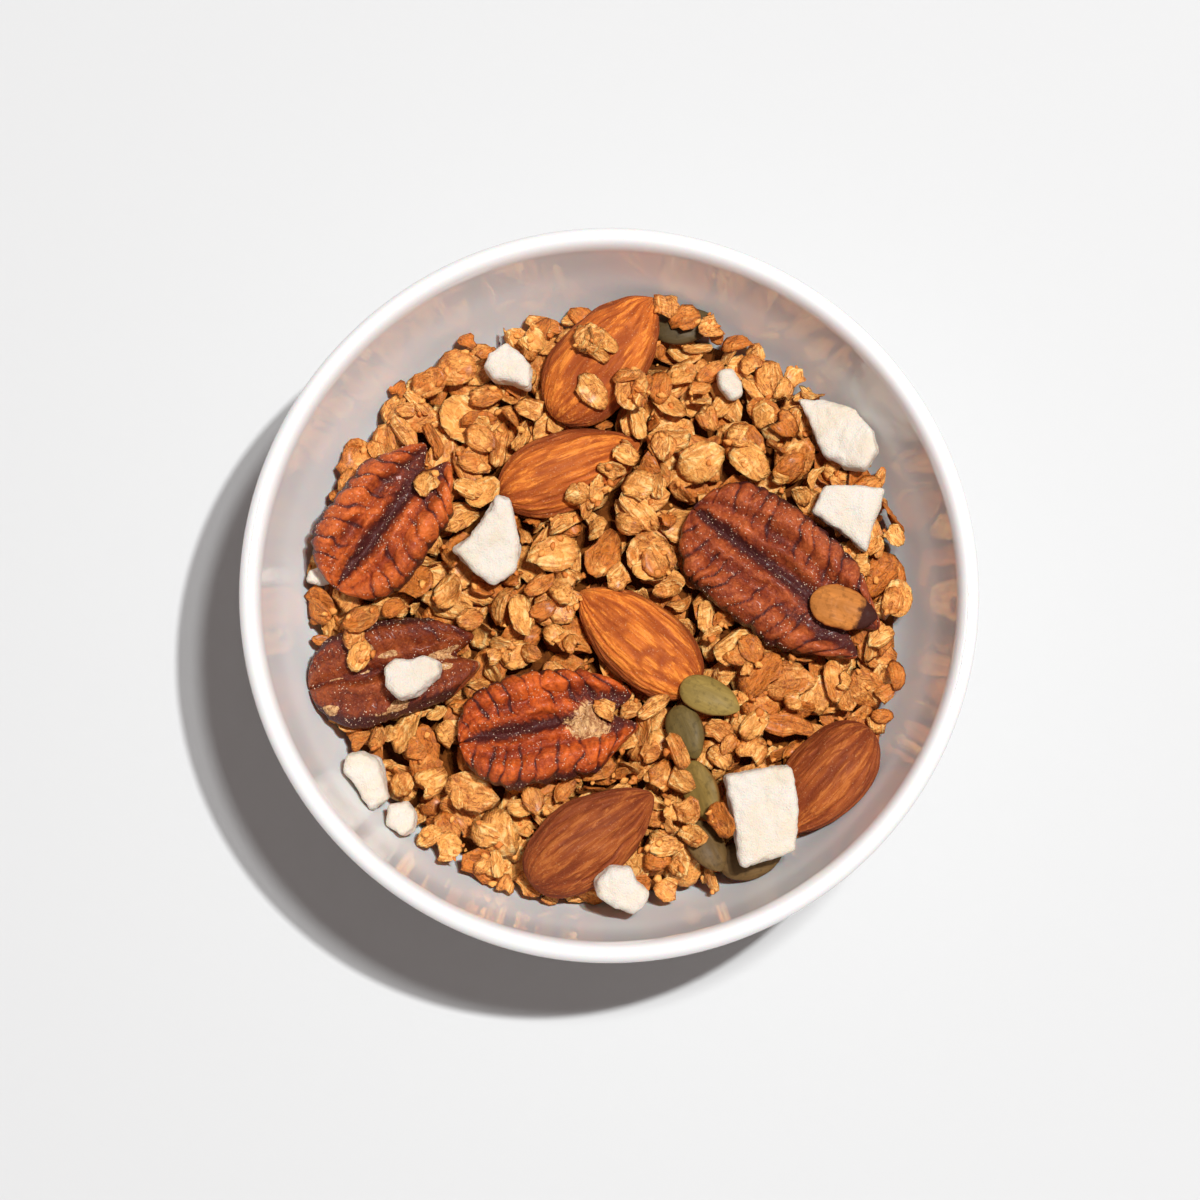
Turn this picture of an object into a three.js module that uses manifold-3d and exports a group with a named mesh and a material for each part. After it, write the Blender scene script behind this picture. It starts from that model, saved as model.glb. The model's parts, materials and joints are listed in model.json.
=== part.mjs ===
// A white porcelain bowl of granola: toasted oat flakes, almonds, pecan halves, pieces of
// freeze-dried fruit and pumpkin seeds. Units are millimetres, +Z is up, and the origin is the
// middle of the bowl's base. +Y is the far side of the bowl and +X its right.
import * as THREE from 'three';
import { mergeVertices } from 'three/addons/utils/BufferGeometryUtils.js';
import Module from 'manifold-3d';

const wasm = await Module();
wasm.setup();
const { Manifold, Mesh: SolidMesh } = wasm;

// ---- Driving dimensions ----
const RIM_RADIUS = 60;
const BOWL_HEIGHT = 56;
const LIP_WIDTH = 3.2;
const FLOOR_HEIGHT = 6; // top of the bowl's floor above the table
const FOOT_RADIUS = 28;
const FOOT_WIDTH = 4;
const FOOT_RECESS = 2.2; // how far the underside inside the foot ring is lifted
const FOOT_ROUND = 0.7;
const BOWL_SEGMENTS = 48;
const WALL_STEPS = 9; // straight runs in each wall's curve

const GAP = 0.35; // air between pieces that rest on each other
const WALL_GAP = 0.6; // from a piece to the true curve of the wall, which the bowl's flats lie inside
const FILL_DEPTH = 18; // rim down to the bare heap, halfway out
const HEAP_DOME = 2.4; // how much higher the heap is in the middle
const HEAP_RIPPLE = 0.8;
const HEAP_EDGE_FALL = 3.5; // the heap slopes away beside the wall
const HEAP_SEGMENTS = 24;
const HEAP_RINGS = 5;

const LIP_ROUND = LIP_WIDTH / 2;
const SHOULDER = BOWL_HEIGHT - LIP_ROUND; // where the lip's half round meets the walls
const WALL_INSIDE = {
  radius: RIM_RADIUS - LIP_WIDTH,
  depth: SHOULDER - FLOOR_HEIGHT,
  across: 2.2,
  down: 1.7,
};
const WALL_OUTSIDE = { radius: RIM_RADIUS, depth: SHOULDER, across: 2.4, down: 1.8 };

// ---- Small helpers ----
const degrees = THREE.MathUtils.degToRad;
const smooth = THREE.MathUtils.smoothstep;
const range = (count) => Array.from({ length: count }, (_, i) => i);

// A repeatable random number from 0 to 1 (mulberry32).
function seeded(seed) {
  let state = seed;
  return () => {
    state = (state + 0x6d2b79f5) | 0;
    let t = Math.imul(state ^ (state >>> 15), 1 | state);
    t = (t + Math.imul(t ^ (t >>> 7), 61 | t)) ^ t;
    return ((t ^ (t >>> 14)) >>> 0) / 4294967296;
  };
}

// Only the positions of a geometry, with its shared vertices merged, so that it is one closed surface.
function closed(geometry) {
  const bare = geometry.index ? geometry.clone() : geometry;
  bare.deleteAttribute('normal');
  bare.deleteAttribute('uv');
  return mergeVertices(bare, 1e-4);
}

function toSolid(geometry) {
  return new Manifold(new SolidMesh({
    numProp: 3,
    vertProperties: geometry.getAttribute('position').array,
    triVerts: new Uint32Array(geometry.index.array),
  }));
}

function toGeometry(solid) {
  const mesh = solid.getMesh();
  const geometry = new THREE.BufferGeometry();
  geometry.setAttribute('position', new THREE.BufferAttribute(new Float32Array(mesh.vertProperties), 3));
  geometry.setIndex(new THREE.BufferAttribute(mesh.triVerts, 1));
  return geometry;
}

// ---- The bowl ----
// Radius of a superellipse wall at a given depth below the shoulder.
function wallRadius(wall, depth) {
  const t = THREE.MathUtils.clamp(depth / wall.depth, 0, 1);
  return wall.radius * (1 - t ** wall.down) ** (1 / wall.across);
}

// The wall's curve from the shoulder to the axis, evenly spread along its bend.
function wallCurve(wall, steps) {
  return range(steps + 1).map((i) => {
    const angle = (i / steps) * Math.PI / 2;
    const r = i === steps ? 0 : wall.radius * Math.cos(angle) ** (2 / wall.across);
    return new THREE.Vector2(r, SHOULDER - wall.depth * Math.sin(angle) ** (2 / wall.down));
  });
}

const insideRadius = (z) => wallRadius(WALL_INSIDE, SHOULDER - z);

function bowlGeometry() {
  const inside = wallCurve(WALL_INSIDE, WALL_STEPS).reverse();
  const lip = [45, 90, 135].map((turn) => new THREE.Vector2(
    RIM_RADIUS - LIP_ROUND - LIP_ROUND * Math.cos(degrees(turn)),
    SHOULDER + LIP_ROUND * Math.sin(degrees(turn)),
  ));
  const outside = wallCurve(WALL_OUTSIDE, WALL_STEPS).filter((p) => p.x > FOOT_RADIUS + 1);
  const footTop = SHOULDER - WALL_OUTSIDE.depth
    * (1 - (FOOT_RADIUS / WALL_OUTSIDE.radius) ** WALL_OUTSIDE.across) ** (1 / WALL_OUTSIDE.down);
  const foot = [
    [FOOT_RADIUS, footTop],
    [FOOT_RADIUS, FOOT_ROUND],
    [FOOT_RADIUS - FOOT_ROUND, 0],
    [FOOT_RADIUS - FOOT_WIDTH + FOOT_ROUND, 0],
    [FOOT_RADIUS - FOOT_WIDTH, FOOT_ROUND],
    [FOOT_RADIUS - FOOT_WIDTH - FOOT_ROUND, FOOT_RECESS],
    [0, FOOT_RECESS],
  ].map(([r, z]) => new THREE.Vector2(r, z));
  // Run from the underside outwards, so that the faces point out of the porcelain.
  const profile = [...inside, ...lip, ...outside, ...foot].reverse();
  const lathe = new THREE.LatheGeometry(profile, BOWL_SEGMENTS);
  lathe.rotateX(Math.PI / 2); // the lathe turns about +Y
  return closed(lathe);
}

// ---- The bare heap ----
// Height of the heap's bare core: a low uneven dome that falls away beside the wall.
function heapHeight(x, y) {
  const out = Math.hypot(x, y) / insideRadius(BOWL_HEIGHT - FILL_DEPTH);
  const ripple = Math.sin(x * 0.17 + 0.8) * Math.cos(y * 0.14 - 0.4) + 0.6 * Math.sin(x * 0.31 - y * 0.27);
  return BOWL_HEIGHT - FILL_DEPTH + HEAP_DOME * (1 - out * out)
    + HEAP_RIPPLE * ripple * (1 - smooth(out, 0.85, 1))
    - HEAP_EDGE_FALL * smooth(out, 0.86, 1);
}

// A closed surface through rings of equal length that start and end at one point each.
function ringedSolid(start, rings, end) {
  const count = rings[0].length;
  const position = [start, ...rings.flat(), end].flatMap((p) => [p.x, p.y, p.z]);
  const index = [];
  const at = (ring, i) => 1 + ring * count + (i % count);
  for (let i = 0; i < count; i += 1) {
    index.push(0, at(0, i), at(0, i + 1));
    for (let ring = 0; ring < rings.length - 1; ring += 1) {
      index.push(at(ring, i), at(ring + 1, i), at(ring + 1, i + 1));
      index.push(at(ring, i), at(ring + 1, i + 1), at(ring, i + 1));
    }
    index.push(at(rings.length - 1, i), 1 + rings.length * count, at(rings.length - 1, i + 1));
  }
  const geometry = new THREE.BufferGeometry();
  geometry.setAttribute('position', new THREE.Float32BufferAttribute(position, 3));
  geometry.setIndex(index);
  return geometry;
}

function heapCore() {
  const around = (radius, height) => range(HEAP_SEGMENTS).map((i) => {
    const angle = (i / HEAP_SEGMENTS) * 2 * Math.PI;
    const x = radius * Math.cos(angle);
    const y = radius * Math.sin(angle);
    return new THREE.Vector3(x, y, height(x, y));
  });
  const edge = BOWL_HEIGHT - FILL_DEPTH - HEAP_EDGE_FALL;
  const top = range(HEAP_RINGS).map((i) => {
    const out = ((i + 1) / HEAP_RINGS) ** 0.9;
    return around(out * (insideRadius(edge) - WALL_GAP), heapHeight);
  });
  // The sides and the bottom follow the inside of the bowl, a gap clear of it.
  const below = wallCurve(WALL_INSIDE, WALL_STEPS)
    .filter((p) => p.y < edge - 1.5 && p.x > 1)
    .map((p) => around(p.x - WALL_GAP, () => p.y + WALL_GAP));
  return ringedSolid(
    new THREE.Vector3(0, 0, heapHeight(0, 0)),
    [...top, ...below],
    new THREE.Vector3(0, 0, FLOOR_HEIGHT + GAP),
  );
}

// ---- Shapes of the pieces, each lying flat with its length along +X ----
// A closed form turned round +X. shape(u, angle) gives the point at u, from -1 to 1 along it.
function kernel(rings, around, shape) {
  const sphere = new THREE.SphereGeometry(1, around, rings);
  const position = sphere.getAttribute('position');
  for (let i = 0; i < position.count; i += 1) {
    const u = -position.getY(i);
    const angle = Math.atan2(position.getZ(i), position.getX(i));
    position.setXYZ(i, ...shape(u, Math.abs(u) > 0.9999 ? Math.PI / 2 : angle));
  }
  return closed(sphere);
}

// An almond or a seed: blunt at the back, with a pointed tip at +X.
function dropShape({ length, width, thickness }, rings, around) {
  return kernel(rings, around, (u, angle) => {
    const tip = Math.max(0, u);
    const half = (1 - u * u) ** (0.5 + 0.22 * tip) * (1 - 0.16 * u);
    return [u * length / 2, half * Math.cos(angle) * width / 2, half * Math.sin(angle) * thickness / 2];
  });
}

const PECAN_GROOVES = 10; // one groove and one ridge for every 36 degrees round the nut
const PECAN_RIM_AT = 0.7; // where the rolled rim is highest, as a share of the half width

// Height of a pecan half across its width, from 0 to 1, with its domed outer side up: a dome with
// lengthwise grooves, of which the middle one is the deepest.
function pecanDome(u, side) {
  const rise = Math.sqrt(1 - side * side);
  const grooves = 0.5 + 0.5 * Math.cos(PECAN_GROOVES * Math.asin(side));
  return rise * (1 - (0.12 + 0.26 * Math.exp(-((side / 0.3) ** 2))) * grooves);
}

// The same with its inner side up: a rolled rim round a valley, with two thin ridges along the middle
// groove that die out towards the fork.
function pecanHollow(u, side) {
  const out = Math.abs(side);
  const rim = Math.sqrt(1 - Math.max(0, (out - PECAN_RIM_AT) / (1 - PECAN_RIM_AT)) ** 2);
  const open = smooth(u, -0.1, 0.7);
  const valley = (0.4 + 0.12 * open) * smooth(PECAN_RIM_AT - out, 0.02, 0.28);
  const ridges = 0.22 * (1 - open) * Math.exp(-(((out - 0.25) / 0.11) ** 2));
  const groove = 0.26 * (1 - 0.6 * open) * Math.exp(-((side / 0.12) ** 2));
  return rim * (1 - valley) + ridges - groove;
}

// A pecan half lying on its plainer side, a little notched at -X. At +X it is forked: its two lobes
// keep some of their width to the end and are rounded there, and the middle between them stays back.
function pecanShape({ length, width, thickness, top }) {
  return kernel(10, 24, (u, angle) => {
    const out = Math.abs(u);
    const wide = (1 - (u > 0 ? 0.8 : 1) * out ** 2.5) ** 0.5 * (1 - 0.1 * u);
    const thick = (1 - out ** (u > 0 ? 4 : 2.5)) ** 0.5 * (1 - 0.1 * u);
    const side = Math.cos(angle);
    const rise = Math.sin(angle);
    const lift = rise > 0 ? top(u, side) : rise * 0.55;
    const fork = 0.28 * Math.exp(-((side / 0.34) ** 2)) + 0.1 * side ** 4;
    const dent = 0.06 * Math.exp(-((side / 0.3) ** 2));
    const back = fork * smooth(u, 0.3, 1) - dent * smooth(-u, 0.5, 1);
    return [(u - back) * length / 2, wide * side * width / 2, thick * lift * thickness / 2];
  });
}

// A chunk cut from an outline, with worn edges; curl lifts its ends.
function chunkShape({ outline, thickness, worn, curl = 0 }) {
  const shape = new THREE.Shape(outline.map(([x, y]) => new THREE.Vector2(x, y)));
  const chunk = new THREE.ExtrudeGeometry(shape, {
    depth: thickness - 2 * worn,
    bevelThickness: worn,
    bevelSize: worn,
    bevelOffset: -worn,
    bevelSegments: 2,
  });
  chunk.translate(0, 0, worn - thickness / 2);
  const position = chunk.getAttribute('position');
  for (let i = 0; i < position.count; i += 1) {
    const [x, y] = [position.getX(i), position.getY(i)];
    position.setZ(i, position.getZ(i) + curl * (x * x - y * y * 0.3));
  }
  return closed(chunk);
}

// An oat flake: an oval saucer, sharp at its edge and a little hollow on top.
function flakeShape({ length, width, thickness }) {
  const edge = range(FLAKE_SIDES).map((i) => {
    const angle = (i / FLAKE_SIDES) * 2 * Math.PI;
    return new THREE.Vector3(Math.cos(angle) * length / 2, Math.sin(angle) * width / 2, thickness / 2);
  });
  return ringedSolid(
    new THREE.Vector3(0, 0, thickness * 0.3),
    [edge],
    new THREE.Vector3(0, 0, -thickness / 2),
  );
}

// ---- What lies on the heap, lowest first ----
// at: middle in plan; turn: direction of +X; pitch lifts the +X end and roll the +Y side, in degrees;
// sink: how far a nut is pressed into the heap. The other pieces lie on it.
const almond = (name, at, turn, length, width, pitch, roll, sink) => ({
  name, at, turn, pitch, roll, sink, slot: 'almond',
  make: () => dropShape({ length, width, thickness: 8 }, 9, 12),
});
const seed = (name, at, turn, length, width, pitch, roll) => ({
  name, at, turn, pitch, roll, sink: 0, slot: 'pumpkin_seed',
  make: () => dropShape({ length, width, thickness: 2.6 }, 7, 8),
});
const pecan = (name, at, turn, length, width, pitch, roll, sink, top) => ({
  name, at, turn, pitch, roll, sink, slot: 'pecan',
  make: () => pecanShape({ length, width, thickness: 11, top }),
});
const fruit = (name, at, thickness, pitch, roll, outline, worn = 0.9, curl = 0) => ({
  name, at, turn: 0, pitch, roll, sink: 0, slot: 'dried_fruit',
  make: () => chunkShape({ outline, thickness, worn, curl }),
});

const toppings = [
  seed('pumpkin_seed_5', [24.4, -43.8], 15, 11, 6.6, -4, 10),
  seed('pumpkin_seed_4', [16, -40.4], -60, 9.4, 6, 8, -14),
  seed('pumpkin_seed_7', [12.8, 47.4], 12, 10.4, 6.3, 0, -12),
  seed('pumpkin_seed_2', [12.7, -21.6], -68, 9.4, 6, 6, 14),
  fruit('fruit_10', [-47.2, 4.6], 2.6, 0, 0,
    [[-2.8, -0.9], [-1.2, -1.6], [2.4, -0.6], [2.8, 0.9], [1.2, 1.8], [-2.4, 0.9]], 0.6),
  fruit('fruit_9', [-34.4, -36.4], 4, 8, -10,
    [[-2.4, -0.9], [0.2, -2.8], [1.8, -1.5], [2.4, 1.3], [0.9, 2.8], [-2.2, 2.4]]),
  fruit('fruit_11', [19.9, 36], 4, -8, 8,
    [[-1.6, -0.7], [0.2, -2.6], [2, -1.6], [1.9, 0.6], [0.4, 2.6], [-2, 2.2]], 0.7),
  almond('almond_1', [-0.8, 40.8], 50, 26, 15, 4, -6, 3.4),
  almond('almond_2', [-6.5, 22.2], 21, 25, 13, -3, 6, 4),
  almond('almond_3', [4.8, -6.2], 140, 25, 13.6, 3, 6, 4.4),
  almond('almond_4', [-2.9, -39], 36, 24.8, 14, 2, 14, 2.6),
  almond('almond_5', [36.6, -30.8], 227, 23.6, 13.2, -6, 12, 3),
  fruit('fruit_8', [-39.7, -29.2], 5.5, 4, 8,
    [[-3.5, 1.3], [-1.3, -2], [0.8, -4.6], [3.5, -3], [2.5, 1.3], [1.8, 3.3], [-0.8, 4.6], [-3, 4.1]]),
  fruit('fruit_7', [2.2, -47.6], 5, -4, 14,
    [[-4.4, 1.6], [-4.2, -0.7], [-1.3, -2.4], [1.6, -3.8], [3.6, -2], [4.2, 0], [2.1, 1.7], [1, 3.8],
      [-2, 3.8]]),
  fruit('fruit_5', [38.4, 13.6], 4, -3, 6,
    [[-5, 1.2], [0.6, -2.8], [3.9, -5.2], [5.3, 0.2], [6.2, 2.6], [7, 5.1], [2.4, 5.6], [-2.9, 5.5]], 0.7),
  fruit('fruit_4', [38, 27.6], 4.2, 10, -8,
    [[-6.5, 5.9], [-4.1, 0.7], [-2.2, -3.4], [1.1, -5.4], [4.4, -5.9], [6.5, -3.1], [5.7, 0.7], [3.1, 4.1],
      [-1.3, 5.9]], 0.9, 0.02),
  seed('pumpkin_seed_3', [15.1, -31.4], -66, 11, 6, 4, 28),
  seed('pumpkin_seed_1', [16.6, -15.9], -25, 10.6, 6.2, 4, -8),
  pecan('pecan_1', [-36.4, 13.6], 53, 30.2, 17.5, 2, 4, 2.6, pecanHollow),
  pecan('pecan_2', [-35.2, -10.9], 13, 30.7, 16.5, 2, -4, 3.2, pecanDome),
  pecan('pecan_3', [-9.8, -20.6], 11, 31.7, 18.2, -2, -3, 2.2, pecanHollow),
  pecan('pecan_4', [28.6, 4.1], -38, 39.4, 20.5, 2, 3, 2, pecanHollow),
  fruit('fruit_1', [-16.6, 39.1], 5, 6, -6,
    [[-3.9, -0.1], [-2.2, -2.3], [0.7, -2.8], [3.5, -3.9], [3.9, -0.1], [1.9, 1.9], [-0.3, 3.9],
      [-3.2, 1.9]]),
  fruit('fruit_2', [-20.1, 9.9], 5.5, -4, 8,
    [[-5.5, -1.6], [-1.7, -5.5], [1.2, -7.2], [4.2, -5.2], [5.5, -1.6], [4.5, 3.1], [3.7, 6.9], [1.7, 7.2],
      [-0.4, 3.9], [-2.7, 0.7]]),
  fruit('fruit_3', [-32.2, -13.1], 4.6, 0, -4,
    [[-4.1, -1.8], [-1.9, -3.6], [0.7, -3], [3.1, -1.1], [4.7, 0.3], [4.6, 2.5], [1.9, 3.6], [-0.3, 2.8],
      [-2.8, 3.1], [-4.7, 1.5]]),
  fruit('fruit_6', [24.6, -35.5], 6.2, -4, 7,
    [[-4.2, -2.5], [-3, -8.1], [1.2, -6.9], [5.6, -5.8], [5.8, 2.4], [4.8, 8.1], [-0.1, 7.6],
      [-5.8, 6.4]], 0.8),
  seed('pumpkin_seed_6', [38.4, -1.6], -17, 11.4, 7, 0, 0),
];

// ---- Letting the toppings down onto the heap ----
const CELL = 0.5; // spacing of the columns in which heights are compared
const columnOf = (x, y) => Math.round(x / CELL) * 4096 + Math.round(y / CELL);
const AROUND = [-CELL, 0, CELL].flatMap((x) => [-CELL, 0, CELL].map((y) => columnOf(x, y)));

// The lowest and highest point of a geometry in every column that it covers.
function columns(geometry) {
  const spans = new Map();
  const [a, b, c, p] = range(4).map(() => new THREE.Vector3());
  const position = geometry.getAttribute('position');
  const triangle = new THREE.Triangle();
  const plane = new THREE.Plane();
  const flat = new THREE.Vector3();
  for (let i = 0; i < geometry.index.count; i += 3) {
    [a, b, c].forEach((corner, k) => corner.fromBufferAttribute(position, geometry.index.getX(i + k)));
    plane.setFromCoplanarPoints(a, b, c);
    if (Math.abs(plane.normal.z) < 1e-6) continue;
    triangle.set(...[a, b, c].map((corner) => corner.clone().setZ(0)));
    const [left, right] = [Math.min(a.x, b.x, c.x), Math.max(a.x, b.x, c.x)];
    const [near, far] = [Math.min(a.y, b.y, c.y), Math.max(a.y, b.y, c.y)];
    for (let x = Math.round(left / CELL) * CELL; x <= right + CELL; x += CELL) {
      for (let y = Math.round(near / CELL) * CELL; y <= far + CELL; y += CELL) {
        if (!triangle.containsPoint(p.set(x, y, 0))) continue;
        const z = -(plane.constant + plane.normal.x * x + plane.normal.y * y) / plane.normal.z;
        const key = columnOf(x, y);
        const span = spans.get(key) ?? { x, y, low: Infinity, high: -Infinity };
        span.low = Math.min(span.low, z);
        span.high = Math.max(span.high, z);
        spans.set(key, span);
      }
    }
  }
  return spans;
}

const ground = columns(heapCore());
const covered = new Map(); // the columns that toppings already fill

function meetsWall(geometry) {
  const position = geometry.getAttribute('position');
  return range(position.count).some((i) => (
    Math.hypot(position.getX(i), position.getY(i)) > insideRadius(position.getZ(i)) - WALL_GAP
  ));
}

function cover(key, span, height) {
  const there = covered.get(key) ?? { low: Infinity, high: -Infinity };
  covered.set(key, {
    low: Math.min(there.low, span.low + height),
    high: Math.max(there.high, span.high + height),
  });
}

// Lets a topping down onto the heap or onto another topping, further in if it would meet the bowl there.
function rest(topping) {
  const lie = new THREE.Matrix4().makeRotationFromEuler(
    new THREE.Euler(degrees(topping.roll), degrees(-topping.pitch), degrees(topping.turn), 'ZYX'),
  );
  const air = topping.sink ? -topping.sink : GAP;
  for (let inwards = 1; ; inwards -= 0.005) {
    const [x, y] = topping.at.map((value) => value * inwards);
    const spans = columns(topping.make().applyMatrix4(lie.setPosition(x, y, 0)));
    let height = -Infinity;
    for (const [key, span] of spans) {
      height = Math.max(height, (ground.get(key)?.high ?? 0) + air - span.low);
      height = Math.max(height, (covered.get(key)?.high ?? 0) + GAP - span.low);
    }
    lie.setPosition(x, y, height);
    if (meetsWall(topping.make().applyMatrix4(lie))) continue;
    for (const [key, span] of spans) AROUND.forEach((beside) => cover(key + beside, span, height));
    return lie;
  }
}

// The room a pressed-in nut takes up, with the air round it.
function pocket(topping, lie) {
  const hull = toSolid(topping.make()).hull().simplify(GAP * 0.8);
  const { min, max } = hull.boundingBox();
  const middle = min.map((low, axis) => (low + max[axis]) / 2);
  const stretch = min.map((low, axis) => 1 + 3 * GAP / (max[axis] - low));
  const centred = hull.translate(middle.map((value) => -value));
  return centred.scale(stretch).translate(middle).transform(lie.elements);
}

// ---- The oat flakes that show on the heap ----
const GOLDEN_TURN = Math.PI * (3 - Math.sqrt(5));
const FLAKE_SIDES = 8;
const FLAKE_SIZES = [
  { count: 72, length: 10, width: 7.4, steep: 20, lift: 0 },
  { count: 70, length: 8.6, width: 5.8, steep: 34, lift: 0.4 },
  { count: 70, length: 7, width: 4.6, steep: 55, lift: 0.6 },
];
const FLAKE_THICKNESS = 1.9;
const FLAKE_TRIES = 6; // each smaller and turned afresh, before a flake is left out

function crossesTopping(geometry) {
  return [...columns(geometry)].some(([key, span]) => {
    const there = covered.get(key);
    return there && span.low < there.high + GAP && span.high > there.low - GAP;
  });
}

function oatFlakes() {
  const random = seeded(11);
  const between = (low, high) => low + (high - low) * random();
  const reach = insideRadius(BOWL_HEIGHT - FILL_DEPTH) - 3.5;
  const flakes = [];
  for (const size of FLAKE_SIZES) {
    const start = between(0, 2 * Math.PI);
    for (let i = 0; i < size.count; i += 1) {
      const out = reach * Math.sqrt((i + 0.5) / size.count);
      const [x, y] = [Math.cos, Math.sin].map((part) => out * part(start + i * GOLDEN_TURN));
      for (let attempt = 0; attempt < FLAKE_TRIES; attempt += 1) {
        const scale = between(0.9, 1.1) * (1 - 0.1 * attempt);
        const flake = flakeShape({
          length: size.length * scale,
          width: size.width * scale,
          thickness: FLAKE_THICKNESS,
        });
        const [roll, pitch] = range(2).map(() => degrees(between(-size.steep, size.steep)));
        const lie = new THREE.Matrix4()
          .makeRotationFromEuler(new THREE.Euler(roll, pitch, between(0, 2 * Math.PI), 'ZYX'))
          .setPosition(x, y, (ground.get(columnOf(x, y))?.high ?? 0) + size.lift + between(0, 0.6));
        flake.applyMatrix4(lie);
        if (meetsWall(flake) || crossesTopping(flake)) continue;
        flakes.push(flake);
        break;
      }
    }
  }
  return flakes;
}

// ---- Putting it together ----
const MATERIALS = {
  porcelain: { color: 0xf4f3f1, roughness: 0.15 },
  oats: { color: 0xc07f3c, roughness: 0.6 },
  almond: { color: 0x9a5228, roughness: 0.65 },
  pecan: { color: 0x7e3420, roughness: 0.5 },
  dried_fruit: { color: 0xf1e9dc, roughness: 0.85 },
  pumpkin_seed: { color: 0x7d7440, roughness: 0.55 },
};

function piece(name, geometry, slot) {
  const mesh = new THREE.Mesh(geometry, new THREE.MeshStandardMaterial({ metalness: 0, ...MATERIALS[slot] }));
  mesh.name = name;
  return mesh;
}

const granolaBowl = new THREE.Group();
granolaBowl.add(piece('bowl', bowlGeometry(), 'porcelain'));

const pockets = [];
for (const topping of toppings) {
  const lie = rest(topping);
  const mesh = piece(topping.name, topping.make(), topping.slot);
  mesh.applyMatrix4(lie);
  granolaBowl.add(mesh);
  if (topping.sink) pockets.push(pocket(topping, lie));
}

// The heap is one solid: its core with the flakes fused on, and a pocket under each pressed-in topping.
const heaped = Manifold.union([toSolid(heapCore()), ...oatFlakes().map(toSolid)]);
const pieces = heaped.subtract(Manifold.union(pockets)).simplify(0.1).decompose();
const largest = pieces.reduce((a, b) => (a.volume() > b.volume() ? a : b));
granolaBowl.add(piece('granola_heap', toGeometry(largest), 'oats'));

export default granolaBowl;
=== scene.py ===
"""A white porcelain bowl of granola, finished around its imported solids.

The solids give every piece its place. Each operator here makes one piece or one group of like
pieces in their finished form: the bowl is turned, the nuts, seeds and fruit take the lie of their
solids, and the oat flakes are laid one by one on a core of their own. Meshes are in metres; the
shapes are worked out in millimetres.
"""
import json
import math

import bpy
import numpy as np
from bpy.props import FloatProperty, FloatVectorProperty, IntProperty, PointerProperty
from mathutils import Matrix, Vector
from mathutils.bvhtree import BVHTree

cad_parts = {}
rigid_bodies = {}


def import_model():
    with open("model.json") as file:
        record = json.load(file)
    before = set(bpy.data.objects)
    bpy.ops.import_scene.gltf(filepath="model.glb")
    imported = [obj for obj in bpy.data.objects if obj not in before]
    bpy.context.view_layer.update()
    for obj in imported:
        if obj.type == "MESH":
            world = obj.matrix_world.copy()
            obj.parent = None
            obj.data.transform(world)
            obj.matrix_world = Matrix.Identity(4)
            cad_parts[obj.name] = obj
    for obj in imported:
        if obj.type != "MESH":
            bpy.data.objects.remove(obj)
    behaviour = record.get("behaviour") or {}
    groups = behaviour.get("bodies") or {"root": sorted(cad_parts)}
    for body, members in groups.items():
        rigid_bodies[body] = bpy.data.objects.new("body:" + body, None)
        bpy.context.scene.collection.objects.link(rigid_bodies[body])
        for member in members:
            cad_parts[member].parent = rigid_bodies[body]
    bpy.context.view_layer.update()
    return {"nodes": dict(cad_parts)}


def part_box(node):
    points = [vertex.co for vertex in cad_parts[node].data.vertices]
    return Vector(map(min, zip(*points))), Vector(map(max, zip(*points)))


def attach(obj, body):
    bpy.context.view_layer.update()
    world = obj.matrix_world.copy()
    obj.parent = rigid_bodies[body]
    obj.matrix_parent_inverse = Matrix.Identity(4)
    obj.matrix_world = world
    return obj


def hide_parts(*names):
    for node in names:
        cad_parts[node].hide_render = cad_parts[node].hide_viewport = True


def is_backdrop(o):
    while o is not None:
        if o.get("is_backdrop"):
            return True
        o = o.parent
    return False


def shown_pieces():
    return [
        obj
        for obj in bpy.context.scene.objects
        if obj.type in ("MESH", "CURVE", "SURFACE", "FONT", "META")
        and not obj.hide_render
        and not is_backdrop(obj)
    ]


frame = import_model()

bl_info = {
    "name": "Granola Bowl",
    "version": (1, 0, 0),
    "blender": (4, 5, 0),
    "location": "3D View > Sidebar > Granola",
    "description": "Makes a porcelain bowl of granola, piece by piece",
    "category": "Add Mesh",
}

MM = 0.001
BODY = "root"
RIM_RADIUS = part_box("bowl")[1].x / MM
BOWL_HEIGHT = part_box("bowl")[1].z / MM


def nodes_named(start):
    """The solids whose names start in one way, in order."""
    found = [name for name in frame["nodes"] if name.startswith(start)]
    return sorted(found, key=lambda name: int(name.rsplit("_", 1)[1]))


# ---- Settings ----
def length(name, description, default, **limits):
    """A size that a user may change, in metres."""
    return FloatProperty(
        name=name, description=description, default=default * MM, unit="LENGTH", precision=4, **limits
    )


def colour(name, description, default):
    """A linear colour that a user may change."""
    return FloatVectorProperty(
        name=name, description=description, default=default, subtype="COLOR", size=3, min=0, max=1
    )


class BowlSettings(bpy.types.PropertyGroup):
    """Sizes and glaze of the bowl."""

    lip: length("Lip width", "Thickness of the rounded rim", 3.2)
    floor: length("Floor height", "Top of the bowl's floor above the table", 6)
    foot: length("Foot radius", "Outer radius of the foot ring", 28)
    foot_width: length("Foot width", "Width of the foot ring", 4)
    recess: length("Foot recess", "How far the underside inside the foot ring is lifted", 2.2)
    glaze: colour("Glaze", "Colour of the glaze", (0.82, 0.808, 0.80))
    bare: colour("Bare clay", "Colour of the unglazed foot", (0.72, 0.69, 0.64))


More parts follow.
